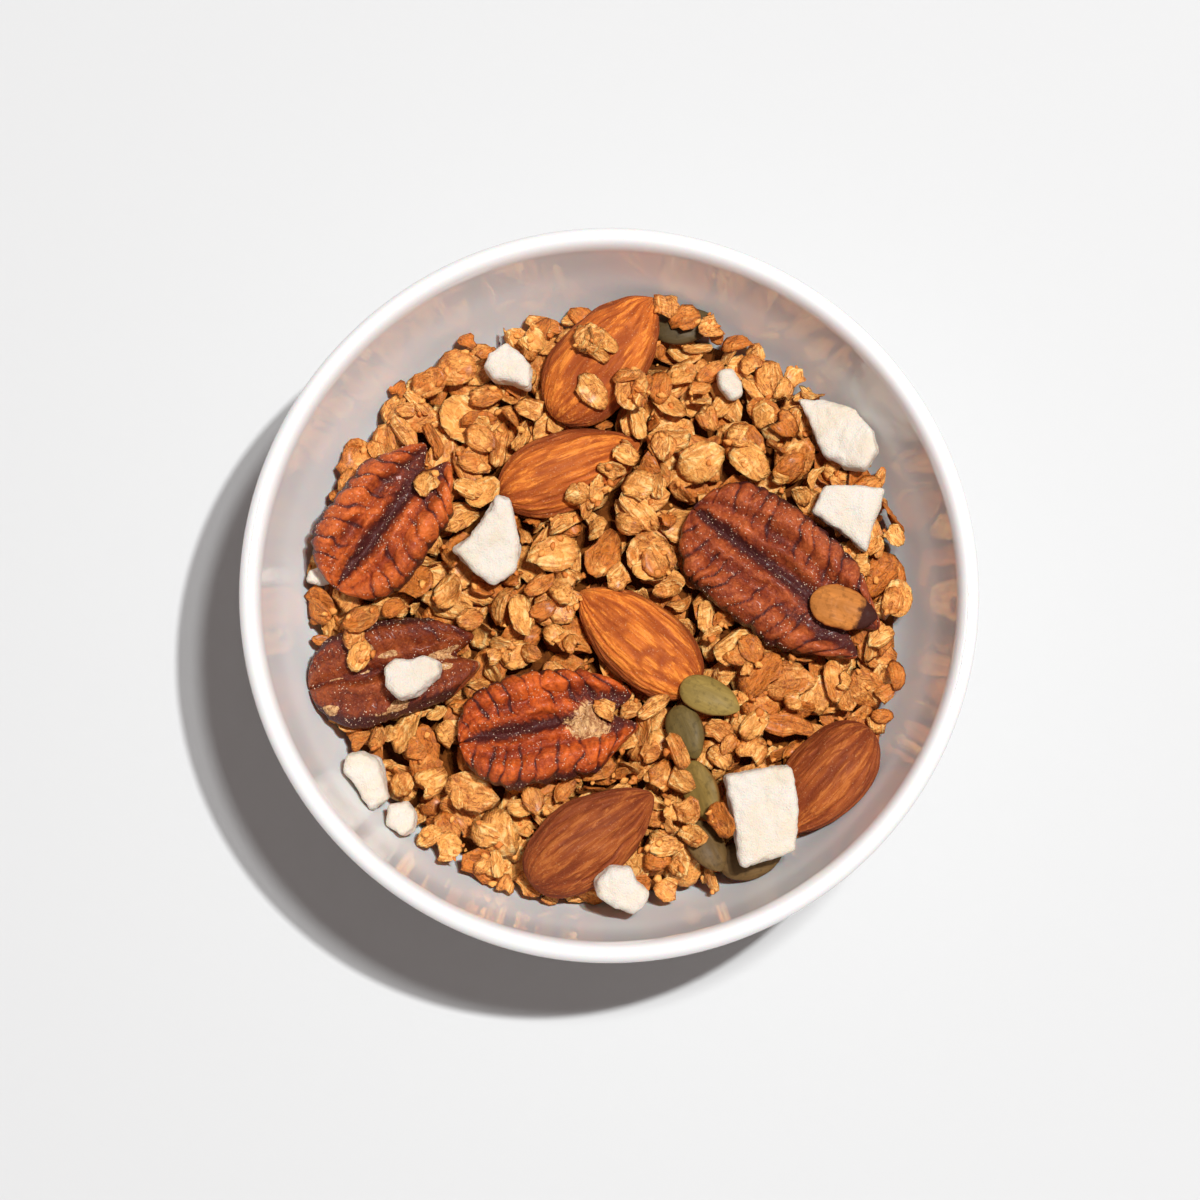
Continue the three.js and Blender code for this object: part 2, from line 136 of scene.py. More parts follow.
class OatSettings(bpy.types.PropertyGroup):
    """Sizes, numbers and colours of the oat flakes."""

    seed: IntProperty(name="Seed", description="Start of the random draws", default=5, min=0)
    flakes: IntProperty(
        name="Flakes", description="Single flakes to find a place for", default=1150, min=1
    )
    stacks: IntProperty(name="Stacks", description="Stacks on edge to find a place for", default=150, min=0)
    clumps: IntProperty(name="Clumps", description="Round clumps to find a place for", default=70, min=0)
    crumbs: IntProperty(name="Crumbs", description="Loose crumbs", default=700, min=0)
    size: length("Flake length", "Length of the largest flakes", 9.8)
    depth: length("Loose depth", "Depth of the loose flakes over the core", 5.2)
    golden: colour("Golden", "Colour of a lightly toasted flake", (0.95, 0.400, 0.088))
    toasted: colour("Toasted", "Colour of a dark flake", (0.64, 0.185, 0.024))
    # syrup also serves as painted shade: in the hollows of the oat flakes and, darkened, on the core
    # between them
    syrup: colour("Syrup", "Colour of syrup in the creases", (0.28, 0.068, 0.011))


class NutSettings(bpy.types.PropertyGroup):
    """Colours of the nuts, seeds and fruit."""

    almond: colour("Almond skin", "Colour of an almond's skin", (0.66, 0.160, 0.020))
    # almond_dark also serves as the painted shade at an almond's edge and ends
    almond_dark: colour("Almond grooves", "Colour of an almond's grooves", (0.185, 0.034, 0.010))
    pecan: colour("Pecan lobes", "Colour of a pecan's lobes", (0.66, 0.140, 0.022))
    # pecan_dark is laid in the creases, partly as painted shade
    pecan_dark: colour("Pecan grooves", "Colour of a pecan's grooves", (0.055, 0.011, 0.012))
    seed_green: colour("Seed", "Colour of a pumpkin seed", (0.235, 0.155, 0.038))
    fruit: colour("Fruit", "Colour of the freeze-dried fruit", (0.765, 0.69, 0.605))
    grains: FloatProperty(
        name="Sugar grains", description="Sugar grains to a square millimetre", default=2.4, min=0
    )


class StageSettings(bpy.types.PropertyGroup):
    """The floor, the lights and the camera."""

    floor: colour("Floor", "Colour of the floor", (0.63, 0.63, 0.63))
    key: FloatProperty(name="Key light", description="Power of the hard light", default=32.2, unit="POWER")
    second: FloatProperty(
        name="Second light", description="Power of the softer light", default=14.0, unit="POWER"
    )
    fill: FloatProperty(name="Fill", description="Brightness of the room", default=0.208, min=0)
    room: colour("Room", "Colour of the light from the room", (1.0, 0.86, 0.83))
    lamp: colour("Lamp", "Colour of both lights", (0.975, 0.995, 1.0))
    elevation: FloatProperty(
        name="Camera elevation", description="Angle of the camera over the table",
        default=math.radians(83.4), subtype="ANGLE",
    )
    distance: length("Camera distance", "From the camera to the middle of the rim", 850)


# ---- Random numbers and noise ----
def smooth(x, low, high):
    """A smooth step from 0 at low to 1 at high."""
    t = np.clip((x - low) / (high - low), 0, 1)
    return t * t * (3 - 2 * t)


def noise(points, scale, seed=0):
    """Smooth random values from -1 to 1 at points, with lumps of the given sizes."""
    spot = np.asarray(points, float) / scale
    cell = np.floor(spot).astype(np.int64)
    part = spot - cell
    part = part * part * (3 - 2 * part)
    total = np.zeros(len(spot))
    for corner in np.ndindex(2, 2, 2):
        knot = cell + corner
        bits = (knot * (73856093, 19349663, 83492791)).sum(1) + seed * 97531
        bits = (bits ^ (bits >> 13)) * 1274126177 & 0xFFFFFFFF
        bits = (bits ^ (bits >> 15)) * 668265263 & 0xFFFFFFFF
        value = (bits >> 8 & 0xFFFF) / 32767.5 - 1
        total += value * np.prod(np.where(corner, part, 1 - part), axis=1)
    return total


def billow(points, scale, seed=0):
    """Rounded lumps with sharp creases between them, from 0 in a crease to 1."""
    return np.minimum(1, np.abs(noise(points, scale, seed)) * 1.6)


def turned(angle, axis):
    """A 3 by 3 turn about X, Y or Z, in radians."""
    return np.array(Matrix.Rotation(angle, 3, axis))


# ---- Meshes ----
def in_scene(name, data):
    """A new object in the scene, at the origin."""
    made = bpy.data.objects.new(name, data)
    bpy.context.scene.collection.objects.link(made)
    return made


def move_points(mesh, points):
    """Moves a mesh's points to new places in millimetres."""
    mesh.vertices.foreach_set("co", (points * MM).ravel())
    mesh.update()


def make_object(name, points, faces, material, attributes=None, shaded_smooth=True):
    """A new object in the scene from points in millimetres."""
    mesh = bpy.data.meshes.new(name)
    mesh.from_pydata((np.asarray(points) * MM).tolist(), [], [list(face) for face in faces])
    if shaded_smooth:
        mesh.shade_smooth()
    for key, values in (attributes or {}).items():
        values = np.asarray(values, np.float32)
        vector = values.ndim == 2
        attribute = mesh.attributes.new(key, "FLOAT_VECTOR" if vector else "FLOAT", "POINT")
        attribute.data.foreach_set("vector" if vector else "value", values.ravel())
    if material:
        mesh.materials.append(material)
    return in_scene(name, mesh)


def finish_piece(piece, slot, *nodes):
    """Makes a finished piece ride with the bowl, in place of its solids. The slot argument is not used."""
    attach(piece, BODY)
    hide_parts(*nodes)
    return piece


def corners_of(mesh):
    """A mesh's points in millimetres and its triangles."""
    points = np.empty(len(mesh.vertices) * 3)
    mesh.vertices.foreach_get("co", points)
    mesh.calc_loop_triangles()
    corners = np.empty(len(mesh.loop_triangles) * 3, int)
    mesh.loop_triangles.foreach_get("vertices", corners)
    return points.reshape(-1, 3) / MM, corners.reshape(-1, 3)


def normals_of(mesh):
    """The normals of a mesh's points."""
    found = np.empty(len(mesh.vertices) * 3)
    mesh.vertex_normals.foreach_get("vector", found)
    return found.reshape(-1, 3)


def closed_rings(rings):
    """Faces of a form through rings of equal length that begins and ends in one point each."""
    count, around = len(rings), len(rings[0])
    points = [rings[0].mean(0)[None], *rings, rings[-1].mean(0)[None]]
    start = 1 + np.arange(count) * around
    here = np.arange(around)
    after = (here + 1) % around
    faces = [(0, start[0] + b, start[0] + a) for a, b in zip(here, after)]
    for low, high in zip(start[:-1], start[1:]):
        faces += [(low + a, low + b, high + b, high + a) for a, b in zip(here, after)]
    last = 1 + count * around
    faces += [(start[-1] + a, start[-1] + b, last) for a, b in zip(here, after)]
    return np.concatenate(points), faces


OCTAHEDRON = (
    np.array([(1, 0, 0), (0, 1, 0), (-1, 0, 0), (0, -1, 0), (0, 0, 1), (0, 0, -1)], float),
    [(0, 1, 4), (1, 2, 4), (2, 3, 4), (3, 0, 4), (1, 0, 5), (2, 1, 5), (3, 2, 5), (0, 3, 5)],
)


# ---- Shaders ----
class Value:
    """A number in a node tree. Sums, products and quotients of it add Math nodes."""

    def __init__(self, tree, socket):
        self.tree = tree
        self.socket = socket

    def math(self, operation, *inputs):
        """A Math node over this value and others."""
        return self.tree.node("ShaderNodeMath", {"operation": operation}, dict(enumerate(inputs)))

    def __add__(self, other):
        return self.math("ADD", self, other)

    def __sub__(self, other):
        return self.math("SUBTRACT", self, other)

    def __rsub__(self, other):
        return self.math("SUBTRACT", other, self)

    def __mul__(self, other):
        return self.math("MULTIPLY", self, other)

    def __truediv__(self, other):
        return self.math("DIVIDE", self, other)

    def __abs__(self):
        return self.math("ABSOLUTE", self)

    def step(self, low, high, bottom=0.0, top=1.0):
        """A smooth step of this value from bottom at low to top at high."""
        return self.tree.node(
            "ShaderNodeMapRange", {"interpolation_type": "SMOOTHSTEP", "clamp": True},
            {0: self, 1: low, 2: high, 3: bottom, 4: top},
        )

    __radd__ = __add__
    __rmul__ = __mul__


class Tree:
    """A node tree that is written as expressions."""

    def __init__(self, nodes_and_links):
        self.tree = nodes_and_links

    def node(self, kind, settings=None, sockets=None, output=0):
        """Adds a node: its settings first, then the values or links of its sockets."""
        made = self.tree.nodes.new(kind)
        for key, value in (settings or {}).items():
            setattr(made, key, value)
        for key, value in (sockets or {}).items():
            if isinstance(value, Value):
                self.tree.links.new(value.socket, made.inputs[key])
            elif value is not None:
                made.inputs[key].default_value = value
        return Value(self, made.outputs[output]) if made.outputs else made

    def output(self, value, name):
        """Another output of a value's node."""
        return Value(self, value.socket.node.outputs[name])


class Finish(Tree):
    """A material under way, whose colours and patterns are written as expressions."""

    def __init__(self, name):
        self.material = bpy.data.materials.new(name)
        self.material.use_nodes = True
        super().__init__(self.material.node_tree)
        self.tree.nodes.clear()
        place = self.node("ShaderNodeTexCoord", output="Object")
        self.place = self.scaled(place, (1 / MM,) * 3)

    def scaled(self, vector, sizes):
        """A vector times sizes along X, Y and Z."""
        return self.node("ShaderNodeVectorMath", {"operation": "MULTIPLY"}, {0: vector, 1: sizes})

    def along(self, vector, axis):
        """One part of a vector."""
        return self.node("ShaderNodeSeparateXYZ", sockets={0: vector}, output=axis)

    def number(self, name):
        """A number kept at the mesh's points."""
        return self.node("ShaderNodeAttribute", {"attribute_name": name}, output="Fac")

    def vector(self, name):
        """A vector kept at the mesh's points."""
        return self.node("ShaderNodeAttribute", {"attribute_name": name}, output="Vector")

    def noise(self, vector, per_mm, detail=2.0, roughness=0.5, warp=0.0):
        """Noise from 0 to 1 with so many lumps to a millimetre."""
        return self.node("ShaderNodeTexNoise", {"noise_dimensions": "3D"}, {
            "Vector": vector, "Scale": per_mm, "Detail": detail, "Roughness": roughness, "Distortion": warp,
        })

    def reach(self, vector):
        """The length of a vector over its X and Y."""
        flat = self.scaled(vector, (1, 1, 0))
        return self.node("ShaderNodeVectorMath", {"operation": "LENGTH"}, {0: flat}, output="Value")

    def mix(self, factor, one, other, blend="MIX"):
        """A mix of two colours."""
        colours = [(*c, 1) if isinstance(c, (tuple, list)) else c for c in (one, other)]
        return self.node(
            "ShaderNodeMix", {"data_type": "RGBA", "blend_type": blend, "clamp_factor": True},
            {0: factor, 6: colours[0], 7: colours[1]}, output=2,
        )

    def bump(self, height, millimetres, strength=1.0, normal=None):
        """A Bump node of the given depth for a height from 0 to 1."""
        return self.node(
            "ShaderNodeBump", sockets={
                "Strength": strength, "Distance": millimetres * MM, "Height": height, "Normal": normal,
            },
        )

    def close(self, base, roughness, normal=None, **fixed):
        """Ends the material in one Principled shader; fixed values are set on its own sockets."""
        shader = self.node("ShaderNodeBsdfPrincipled", sockets={
            "Base Color": (*base, 1) if isinstance(base, (tuple, list)) else base,
            "Roughness": roughness, "Normal": normal,
            **{key.replace("_", " "): value for key, value in fixed.items()},
        })
        self.node("ShaderNodeOutputMaterial", sockets={"Surface": shader})
        return self.material


# the first oat colour is a painted highlight for the crests of a flake
OAT_HIGHLIGHT, OAT_DUST = (1.0, 0.66, 0.26), (0.95, 0.62, 0.32)
ALMOND_DUST = (0.88, 0.50, 0.24)
# the first pecan colour is a painted highlight for the crests of the lumps
PECAN_HIGHLIGHT, PECAN_DUST = (0.72, 0.24, 0.08), (0.74, 0.36, 0.18)
PECAN_FLESH = (0.30, 0.10, 0.035), (0.78, 0.46, 0.20)  # dark and pale
FRUIT_PORES = (0.58, 0.46, 0.33)
SUGAR = (0.90, 0.72, 0.54), (0.62, 0.38, 0.22)


def shaded(base, *factors):
    """A colour times one factor, or times one each for red, green and blue."""
    return tuple(min(1, c * k) for c, k in zip(base, factors * 3 if len(factors) == 1 else factors))


def porcelain_finish(settings):
    """Clear-glazed white porcelain, with a bare clay ring where it stands."""
    f = Finish("glazed_porcelain")
    height = f.along(f.place, "Z")
    foot = settings.foot / MM
    bare = height.step(0.9, 0.5) * f.reach(f.place).step(foot + 1, foot + 0.6)
    cloud = f.noise(f.place, 0.05, 2).step(0.3, 0.7)
    glaze = f.mix(cloud * 0.25, tuple(settings.glaze), shaded(settings.glaze, 0.97))
    pores = f.noise(f.place, 6, 3)
    clay = f.mix(pores, tuple(settings.bare), shaded(settings.bare, 0.85))
    ripple = f.noise(f.place, 0.10, 1)
    return f.close(
        f.mix(bare, glaze, clay),
        f.noise(f.place, 0.3, 2) * 0.02 + 0.02 + bare * 0.6,
        f.bump(pores * bare, 0.1, 0.5, f.bump(ripple, 0.03, 0.3)),
        Coat_Weight=0.05, Coat_Roughness=0.03, IOR=1.48,
        Subsurface_Weight=0.3, Subsurface_Scale=3 * MM,
    )


def oat_finish(name, settings, tone):
    """A toasted oat flake: golden, wrinkled, browned at its edge, with syrup in the folds, a painted
    highlight on its crests and painted shade in its hollows.
    """
    f = Finish(name)
    flake = f.vector("flake")
    tint = f.number("tint")
    rim = f.reach(flake)
    side = abs(f.along(flake, "Y"))
    patches = f.noise(f.place, 0.30, 3, 0.6, 0.8)
    wrinkles = f.noise(f.scaled(flake, (0.8, 2.0, 2)), 1.0, 3, 0.5, 1.2)
    dents = f.noise(f.place, 0.55, 3, 0.6, 1.2)
    grit = f.noise(f.place, 3.2, 3, 0.65)
    # how toasted it is: in patches, by flake and at its edge
    toast = patches * 2.4 - 2.14 + dents + tint * 1.4 + tone + rim.step(0.62, 1.1) * 0.25
    body = f.mix(toast.step(0.0, 1.0), tuple(settings.golden), tuple(settings.toasted))
    # a painted highlight on the raised crests of the wrinkles and dents
    crest = (wrinkles + dents * 0.5).step(0.74, 0.94) * (1.1 - toast).step(0.2, 0.9)
    body = f.mix(crest * 0.85, body, OAT_HIGHLIGHT)
    # syrup in thin folds, in the crease along it and in pores; in the hollows of the relief the syrup
    # colour is painted shade
    fold = abs(wrinkles - 0.45).step(0.06, 0.0) * 0.5
    fold = fold + abs(dents - 0.45).step(0.045, 0.0) * 0.5
    crease = (side + wrinkles * 0.3).step(0.24, 0.14) * rim.step(0.9, 0.6)
    # painted shade where the relief is low
    hollow = (dents + grit * 0.3).step(0.66, 0.44)
    syrup_and_shade = fold + crease * 0.3 + grit.step(0.58, 0.72) * 0.3 + hollow * 0.7
    body = f.mix(syrup_and_shade * (patches + tint * 0.5).step(0.3, 0.85, 0.3, 0.9), body, tuple(settings.syrup))
    dust = f.noise(f.place, 5.5, 1, 0.4).step(0.68, 0.75)
    body = f.mix(dust * 0.3, body, OAT_DUST)
    relief = wrinkles * 0.9 + dents * 1.1 + grit * 0.3
    gloss = patches.step(0.45, 0.65)
    return f.close(
        body, 0.58 - gloss * 0.2 + grit * 0.1, f.bump(relief, 0.75, 0.85),
        Coat_Weight=gloss * 0.22, Coat_Roughness=0.30, Specular_IOR_Level=0.32,
        Subsurface_Weight=0.12, Subsurface_Scale=MM,
    )


def core_finish(settings):
    """The dark core deep between the flakes: its colour is painted shade in the gaps."""
    f = Finish("deep_crumbs")
    lumps = f.noise(f.place, 0.5, 4, 0.65)
    return f.close(
        f.mix(lumps.step(0.35, 0.75), shaded(settings.syrup, 0.35), shaded(settings.toasted, 0.3)),
        0.9, f.bump(lumps, 1.2), Specular_IOR_Level=0.1,
    )


def crumb_finish(settings):
    """Broken bits of flake and of sugary syrup."""
    f = Finish("crumb_bits")
    tint = f.number("tint")
    grit = f.noise(f.place, 2.2, 3, 0.6)
    body = f.mix((tint + grit * 0.6 - 0.3).step(0.1, 0.9), tuple(settings.golden), tuple(settings.toasted))
    body = f.mix(grit.step(0.6, 0.75) * 0.7, body, tuple(settings.syrup))
    return f.close(body, 0.62, f.bump(grit, 0.25), Subsurface_Weight=0.1, Subsurface_Scale=MM)


def almond_finish(name, settings, dark):
    """Dry almond skin: orange-brown with fine pale grain along it, paler on its ridges and darker in its
    grooves as painted light, painted shade at its edge and ends, and dusty.
    """
    f = Finish(name)
    nut = f.vector("nut")
    ridge = f.number("ridge")
    along = f.vector("along")
    broad = f.noise(nut, 0.13, 3, 0.55, 0.6)
    streaks = f.noise(f.scaled(nut, (0.07, 0.55, 0.55)), 1.0, 4, 0.6, 0.6)
    grain = f.noise(f.scaled(nut, (0.15, 1.6, 1.6)), 1.0, 5, 0.68, 0.5)
    specks = f.noise(nut, 3.4, 3, 0.65)
    skin = tuple(c * (1 - dark) + d * dark for c, d in zip(settings.almond, settings.almond_dark))
    deep, bright = shaded(skin, 0.50, 0.36, 0.40), shaded(skin, 1.4, 1.8, 2.0)
    # the ridge mark darkens the grooves a little as painted shade, with random streaks besides
    tone = streaks * 1.2 + broad + ridge * 0.5
    body = f.mix((tone - 1.15).step(0.55, -0.05) * 0.85, skin, deep)
    # fine pale grain and dark lines along it; the ridge mark makes the grain paler on the ridges and the
    # lines darker in the grooves, as painted highlight and painted shade
    pale = (grain * 1.3 + ridge * 0.3 + streaks * 0.4 - 1.10).step(0.0, 0.14)
    body = f.mix(pale * 0.8, body, bright)
    lines = (grain * 1.2 + ridge * 0.3).step(0.66, 0.54)
    body = f.mix(lines * 0.62, body, deep)
    # painted shade at its edge and its ends, then pale dust and dark specks
    edge = abs(f.along(along, "Y")).step(0.72, 1.0) * 0.7
    edge = edge + abs(f.along(along, "X")).step(0.78, 1.0) * 0.4
    body = f.mix(edge * (0.6 + broad * 0.6), body, tuple(settings.almond_dark))
    body = f.mix(specks.step(0.60, 0.72) * (0.5 - 0.3 * dark), body, ALMOND_DUST)
    body = f.mix(specks.step(0.40, 0.30) * 0.35, body, tuple(settings.almond_dark))
    relief = grain + specks * 0.35
    return f.close(
        body, 0.60 + streaks * 0.12, f.bump(relief, 0.42, 0.9),
        Specular_IOR_Level=0.2, Coat_Weight=0.03, Coat_Roughness=0.4,
    )


def pecan_finish(name, settings, shade):
    """A pecan half: red-brown lobes with painted light and painted highlights, purple-black creases that
    are partly painted shade, satin skin and torn tan patches.
    """
    f = Finish(name)
    nut = f.vector("nut")
    lobe = f.number("ridge")
    torn = f.number("torn")
    broad = f.noise(nut, 0.20, 3, 0.6, 0.8)
    fine = f.noise(nut, 1.5, 4, 0.68, 0.8)
    grain = f.noise(nut, 3.6, 3, 0.6)
    bright = tuple(a * b for a, b in zip(settings.pecan, shade))
    # lit and shaded copies of one colour: lighter where the lobes stand high and darker where they fall
    # away, as painted light, with random tone besides
    tone = lobe + broad * 1.1 + fine * 1.5
    body = f.mix((tone - 1.55).step(0.0, 0.9), shaded(bright, 0.44, 0.30, 0.42), bright)
    # a painted highlight on the crests of the fine lumps
    body = f.mix((fine + lobe * 0.25).step(0.76, 0.88) * 0.35, body, PECAN_HIGHLIGHT)
    # dark in the creases, partly their darker skin and partly painted shade; pale flesh where the skin is
    # torn
    deep = (lobe + (fine - 0.5) * 0.5).step(0.50, 0.08)
    body = f.mix(deep * 0.92, body, tuple(settings.pecan_dark))
    flesh = (torn + (fine - 0.5) * 0.9).step(0.40, 0.52)
    body = f.mix(flesh, body, f.mix(fine.step(0.35, 0.65), *PECAN_FLESH))
    dust = f.noise(f.place, 4.6, 2, 0.5).step(0.63, 0.70)
    body = f.mix(dust * 0.3, body, PECAN_DUST)
    relief = fine + grain * 0.4
    return f.close(
        body, 0.26 + fine * 0.30 + flesh * 0.3, f.bump(relief, 0.42, 0.9),
        Coat_Weight=0.10, Coat_Roughness=0.2, Specular_IOR_Level=0.26,
    )


def seed_finish(name, shade, rough, tip):
    """A hulled pumpkin seed: satin, with a browner edge and faint streaks; tip darkens its point."""
    f = Finish(name)
    nut = f.vector("nut")
    edge = f.number("ridge")
    streaks = f.noise(f.scaled(nut, (0.12, 1.1, 1.1)), 1.0, 3, 0.6, 0.4)
    spots = f.noise(nut, 0.9, 3, 0.6)
    body = f.mix(streaks.step(0.35, 0.7), shade, shaded(shade, 1.35))
    body = f.mix(spots.step(0.50, 0.70) * 0.5, body, shaded(shade, 0.45))
    body = f.mix(edge.step(0.25, 0.9) * 0.75, body, shaded(shade, 0.85, 0.5, 0.4))
    if tip:
        point = f.along(f.vector("along"), "X") + (spots - 0.5) * 0.5
        body = f.mix(point.step(0.35, 0.6), body, tip)
    relief = streaks * 0.5 + spots * (0.5 + 6 * rough)
    return f.close(
        body, 0.50 + spots * 0.15 + rough, f.bump(relief, 0.2, 0.8),
        Coat_Weight=0.02, Coat_Roughness=0.3, Specular_IOR_Level=0.18,
    )


def fruit_finish(settings):
    """Freeze-dried fruit: chalky, cream in random patches, finely porous."""
    f = Finish("freeze_dried_fruit")
    pores = f.noise(f.place, 3.4, 3, 0.6)
    cloud = f.noise(f.place, 0.20, 3, 0.6)
    cream = shaded(settings.fruit, 0.98, 0.93, 0.84)
    body = f.mix(cloud.step(0.35, 0.7), tuple(settings.fruit), cream)
    body = f.mix(pores.step(0.62, 0.8) * 0.22, body, FRUIT_PORES)
    return f.close(
        body, 0.9, f.bump(pores, 0.34, 0.85),
        Specular_IOR_Level=0.2, Subsurface_Weight=0.25, Subsurface_Scale=1.5 * MM,
    )


def sugar_finish():
    """Sugar grains, tinted by the syrup."""
    f = Finish("sugar_grain")
    return f.close(f.mix(f.noise(f.place, 1.5, 2), *SUGAR), 0.4, Specular_IOR_Level=0.5)


def floor_finish(settings):
    """A plain pale floor."""
    f = Finish("pale_floor")
    return f.close(tuple(settings.floor), 0.75, Specular_IOR_Level=0.2)


# ---- Geometry Nodes ----
GRAIN_SPREAD = (0.25, 1.7)  # least and greatest share of a sugar grain's size


def group_with(name, *inputs):
    """A new node group from geometry to geometry with named inputs, its tree and its input node."""
    group = bpy.data.node_groups.new(name, "GeometryNodeTree")
    for key, kind in (("Geometry", "Geometry"), *inputs):
        group.interface.new_socket(key, in_out="INPUT", socket_type=f"NodeSocket{kind}")
    group.interface.new_socket("Geometry", in_out="OUTPUT", socket_type="NodeSocketGeometry")
    tree = Tree(group)
    return group, tree, tree.node("NodeGroupInput")


def lay_and_coat(t, given, **sockets):
    """Ends a group: a shape on each point, made real, in the group's material."""
    laid = t.node("GeometryNodeInstanceOnPoints", sockets={
        key.replace("_", " "): value for key, value in sockets.items()
    })
    real = t.node("GeometryNodeRealizeInstances", sockets={0: laid})
    coated = t.node("GeometryNodeSetMaterial", sockets={
        "Geometry": real, "Material": t.output(given, "Material"),
    })
    t.node("NodeGroupOutput", sockets={0: coated})


def setting_tree(name):
    """A node group that sets one of a collection's shapes at each point of a mesh."""
    group, t, given = group_with(
        name, ("Shapes", "Collection"), ("Size", "Float"), ("Material", "Material"),
    )
    shapes = t.node("GeometryNodeCollectionInfo", sockets={
        "Collection": t.output(given, "Shapes"), "Separate Children": True, "Reset Children": True,
    })
    kept = {
        key: t.node("GeometryNodeInputNamedAttribute", {"data_type": kind}, {"Name": key})
        for key, kind in (("shape", "INT"), ("turn", "FLOAT_VECTOR"), ("stretch", "FLOAT_VECTOR"))
    }
    turn = t.node("FunctionNodeEulerToRotation", sockets={0: kept["turn"]})
    stretch = t.node("ShaderNodeVectorMath", {"operation": "SCALE"}, {
        0: kept["stretch"], "Scale": t.output(given, "Size"),
    })
    lay_and_coat(t, given, Points=given, Instance=shapes, Pick_Instance=True,
                 Instance_Index=kept["shape"], Rotation=turn, Scale=stretch)
    return group


def grain_tree(name):
    """A node group that strews small shapes over the upper side of a mesh, most where its sugar mark is."""
    group, t, given = group_with(
        name, ("Grain", "Object"), ("Density", "Float"), ("Size", "Float"), ("Seed", "Int"),
        ("Material", "Material"),
    )
    seed, size = t.output(given, "Seed"), t.output(given, "Size")
    upward = t.node("ShaderNodeSeparateXYZ", sockets={0: t.node("GeometryNodeInputNormal")}, output="Z")
    sugar = t.node("GeometryNodeInputNamedAttribute", {"data_type": "FLOAT"}, {"Name": "sugar"})
    points = t.node("GeometryNodeDistributePointsOnFaces", {"distribute_method": "RANDOM"}, {
        "Mesh": given, "Density": t.output(given, "Density") * sugar * upward.step(0.1, 0.5), "Seed": seed,
    })
    grain = t.node(
        "GeometryNodeObjectInfo", sockets={"Object": t.output(given, "Grain")}, output="Geometry",
    )
    spin = t.node("FunctionNodeRandomValue", {"data_type": "FLOAT_VECTOR"}, {
        0: (0, 0, 0), 1: (math.tau,) * 3, "Seed": seed,
    })
    spread = t.node("FunctionNodeRandomValue", {"data_type": "FLOAT"}, {
        2: GRAIN_SPREAD[0], 3: GRAIN_SPREAD[1], "Seed": seed,
    }, output=1)
    lay_and_coat(t, given, Points=points, Instance=grain,
                 Rotation=t.node("FunctionNodeEulerToRotation", sockets={0: spin}), Scale=size * spread)
    return group


def run_tree(name, source, group, values, material):
    """Runs a node group over an object and keeps the result as a plain mesh in a new object."""
    modifier = source.modifiers.new(group.name, "NODES")
    modifier.node_group = group
    for item in group.interface.items_tree:
        if item.in_out == "INPUT" and item.name in values:
            modifier[item.identifier] = values[item.name]
    bpy.context.view_layer.update()
    graph = bpy.context.evaluated_depsgraph_get()
    mesh = bpy.data.meshes.new_from_object(source.evaluated_get(graph))
    source.modifiers.remove(modifier)
    mesh.name = name
    mesh.materials.clear()
    mesh.materials.append(material)
    return in_scene(name, mesh)


# ---- The lie of a solid ----
def lie_of(points, faces):
    """How a closed form lies: its middle, its own axes as columns, and its reach along them.

    The first axis runs towards the pointed or forked end, and the third points up.
    """
    a, b, c = (points[faces[:, k]] for k in range(3))
    volume = np.einsum("ij,ij->i", a, np.cross(b, c)) / 6
    total = a + b + c
    middle = (volume[:, None] * total).sum(0) / 4 / volume.sum()
    spread = sum(np.einsum("i,ij,ik->jk", volume, p, p) for p in (a, b, c, total)) / 20
    spread = spread / volume.sum() - np.outer(middle, middle)
    axes = np.linalg.eigh(spread)[1][:, ::-1]
    if axes[2, 2] < 0:
        axes[:, 2] *= -1
    along = (points - middle) @ axes[:, 0]
    if along.max() < -along.min():
        axes[:, 0] *= -1
    axes[:, 1] = np.cross(axes[:, 2], axes[:, 0])
    local = (points - middle) @ axes
    return middle, axes, local.min(0), local.max(0)


def lay_like(node, plain, detailed):
    """Moves the points of a detailed form to where its solid lies, from the lie of its plain form."""
    there = lie_of(*corners_of(frame["nodes"][node].data))
    here = lie_of(*plain)
    local = (detailed - here[0]) @ here[1]
    scale = (there[3] - there[2]) / (here[3] - here[2])
    local = there[2] + (local - here[2]) * scale
    return there[0] + local @ there[1].T


def triangulated(faces):
    """Triangles of three- and four-sided faces, as an array."""
    return np.array([(f[0], f[k], f[k + 1]) for f in faces for k in range(1, len(f) - 1)])


# ---- The bowl ----
INSIDE_BEND = (2.2, 1.7)  # how the inner wall curves: across and down
OUTSIDE_BEND = (2.4, 1.8)
WALL_POINTS = 60
WALL_INSET = 0.85  # how far the inner wall stands in at its fullest
WALL_FULLEST = 44.0  # the height from which that lessens towards the rim
WALL_FOOT = 28.0  # the height from which the wall begins to stand in
RIM_DEPTH = 2.6  # how far down the rim rounds over into the inner wall
RIM_START = 160  # where on the rim's oval the wall meets it, in degrees
FOOT_CORNER = 0.9  # rounding above the foot ring
FOOT_EDGE = 0.7  # roundings under the foot ring
BOWL_SEGMENTS = 256


def wall(radius, depth, shoulder, bend, steps):
    """A wall's curve from the shoulder to the axis, as radii and heights."""
    angle = np.linspace(0, math.pi / 2, steps + 1)
    r = radius * np.abs(np.cos(angle)) ** (2 / bend[0])
    return np.stack([r, shoulder - depth * np.sin(angle) ** (2 / bend[1])], 1)


def arc(middle, radius, start, end, steps):
    """Points round an arc, from one angle to another in degrees."""
    angle = np.radians(np.linspace(start, end, steps + 1))
    return np.stack([middle[0] + radius * np.cos(angle), middle[1] + radius * np.sin(angle)], 1)


def wall_inset(height):
    """How far the finished wall stands inside its curve, so that it leaves the rim in a slope."""
    up = np.clip((height - WALL_FULLEST) / (BOWL_HEIGHT - 1 - WALL_FULLEST), 0, 1)
    return WALL_INSET * smooth(height, WALL_FOOT, WALL_FULLEST - 2) * (1 - up ** 3)


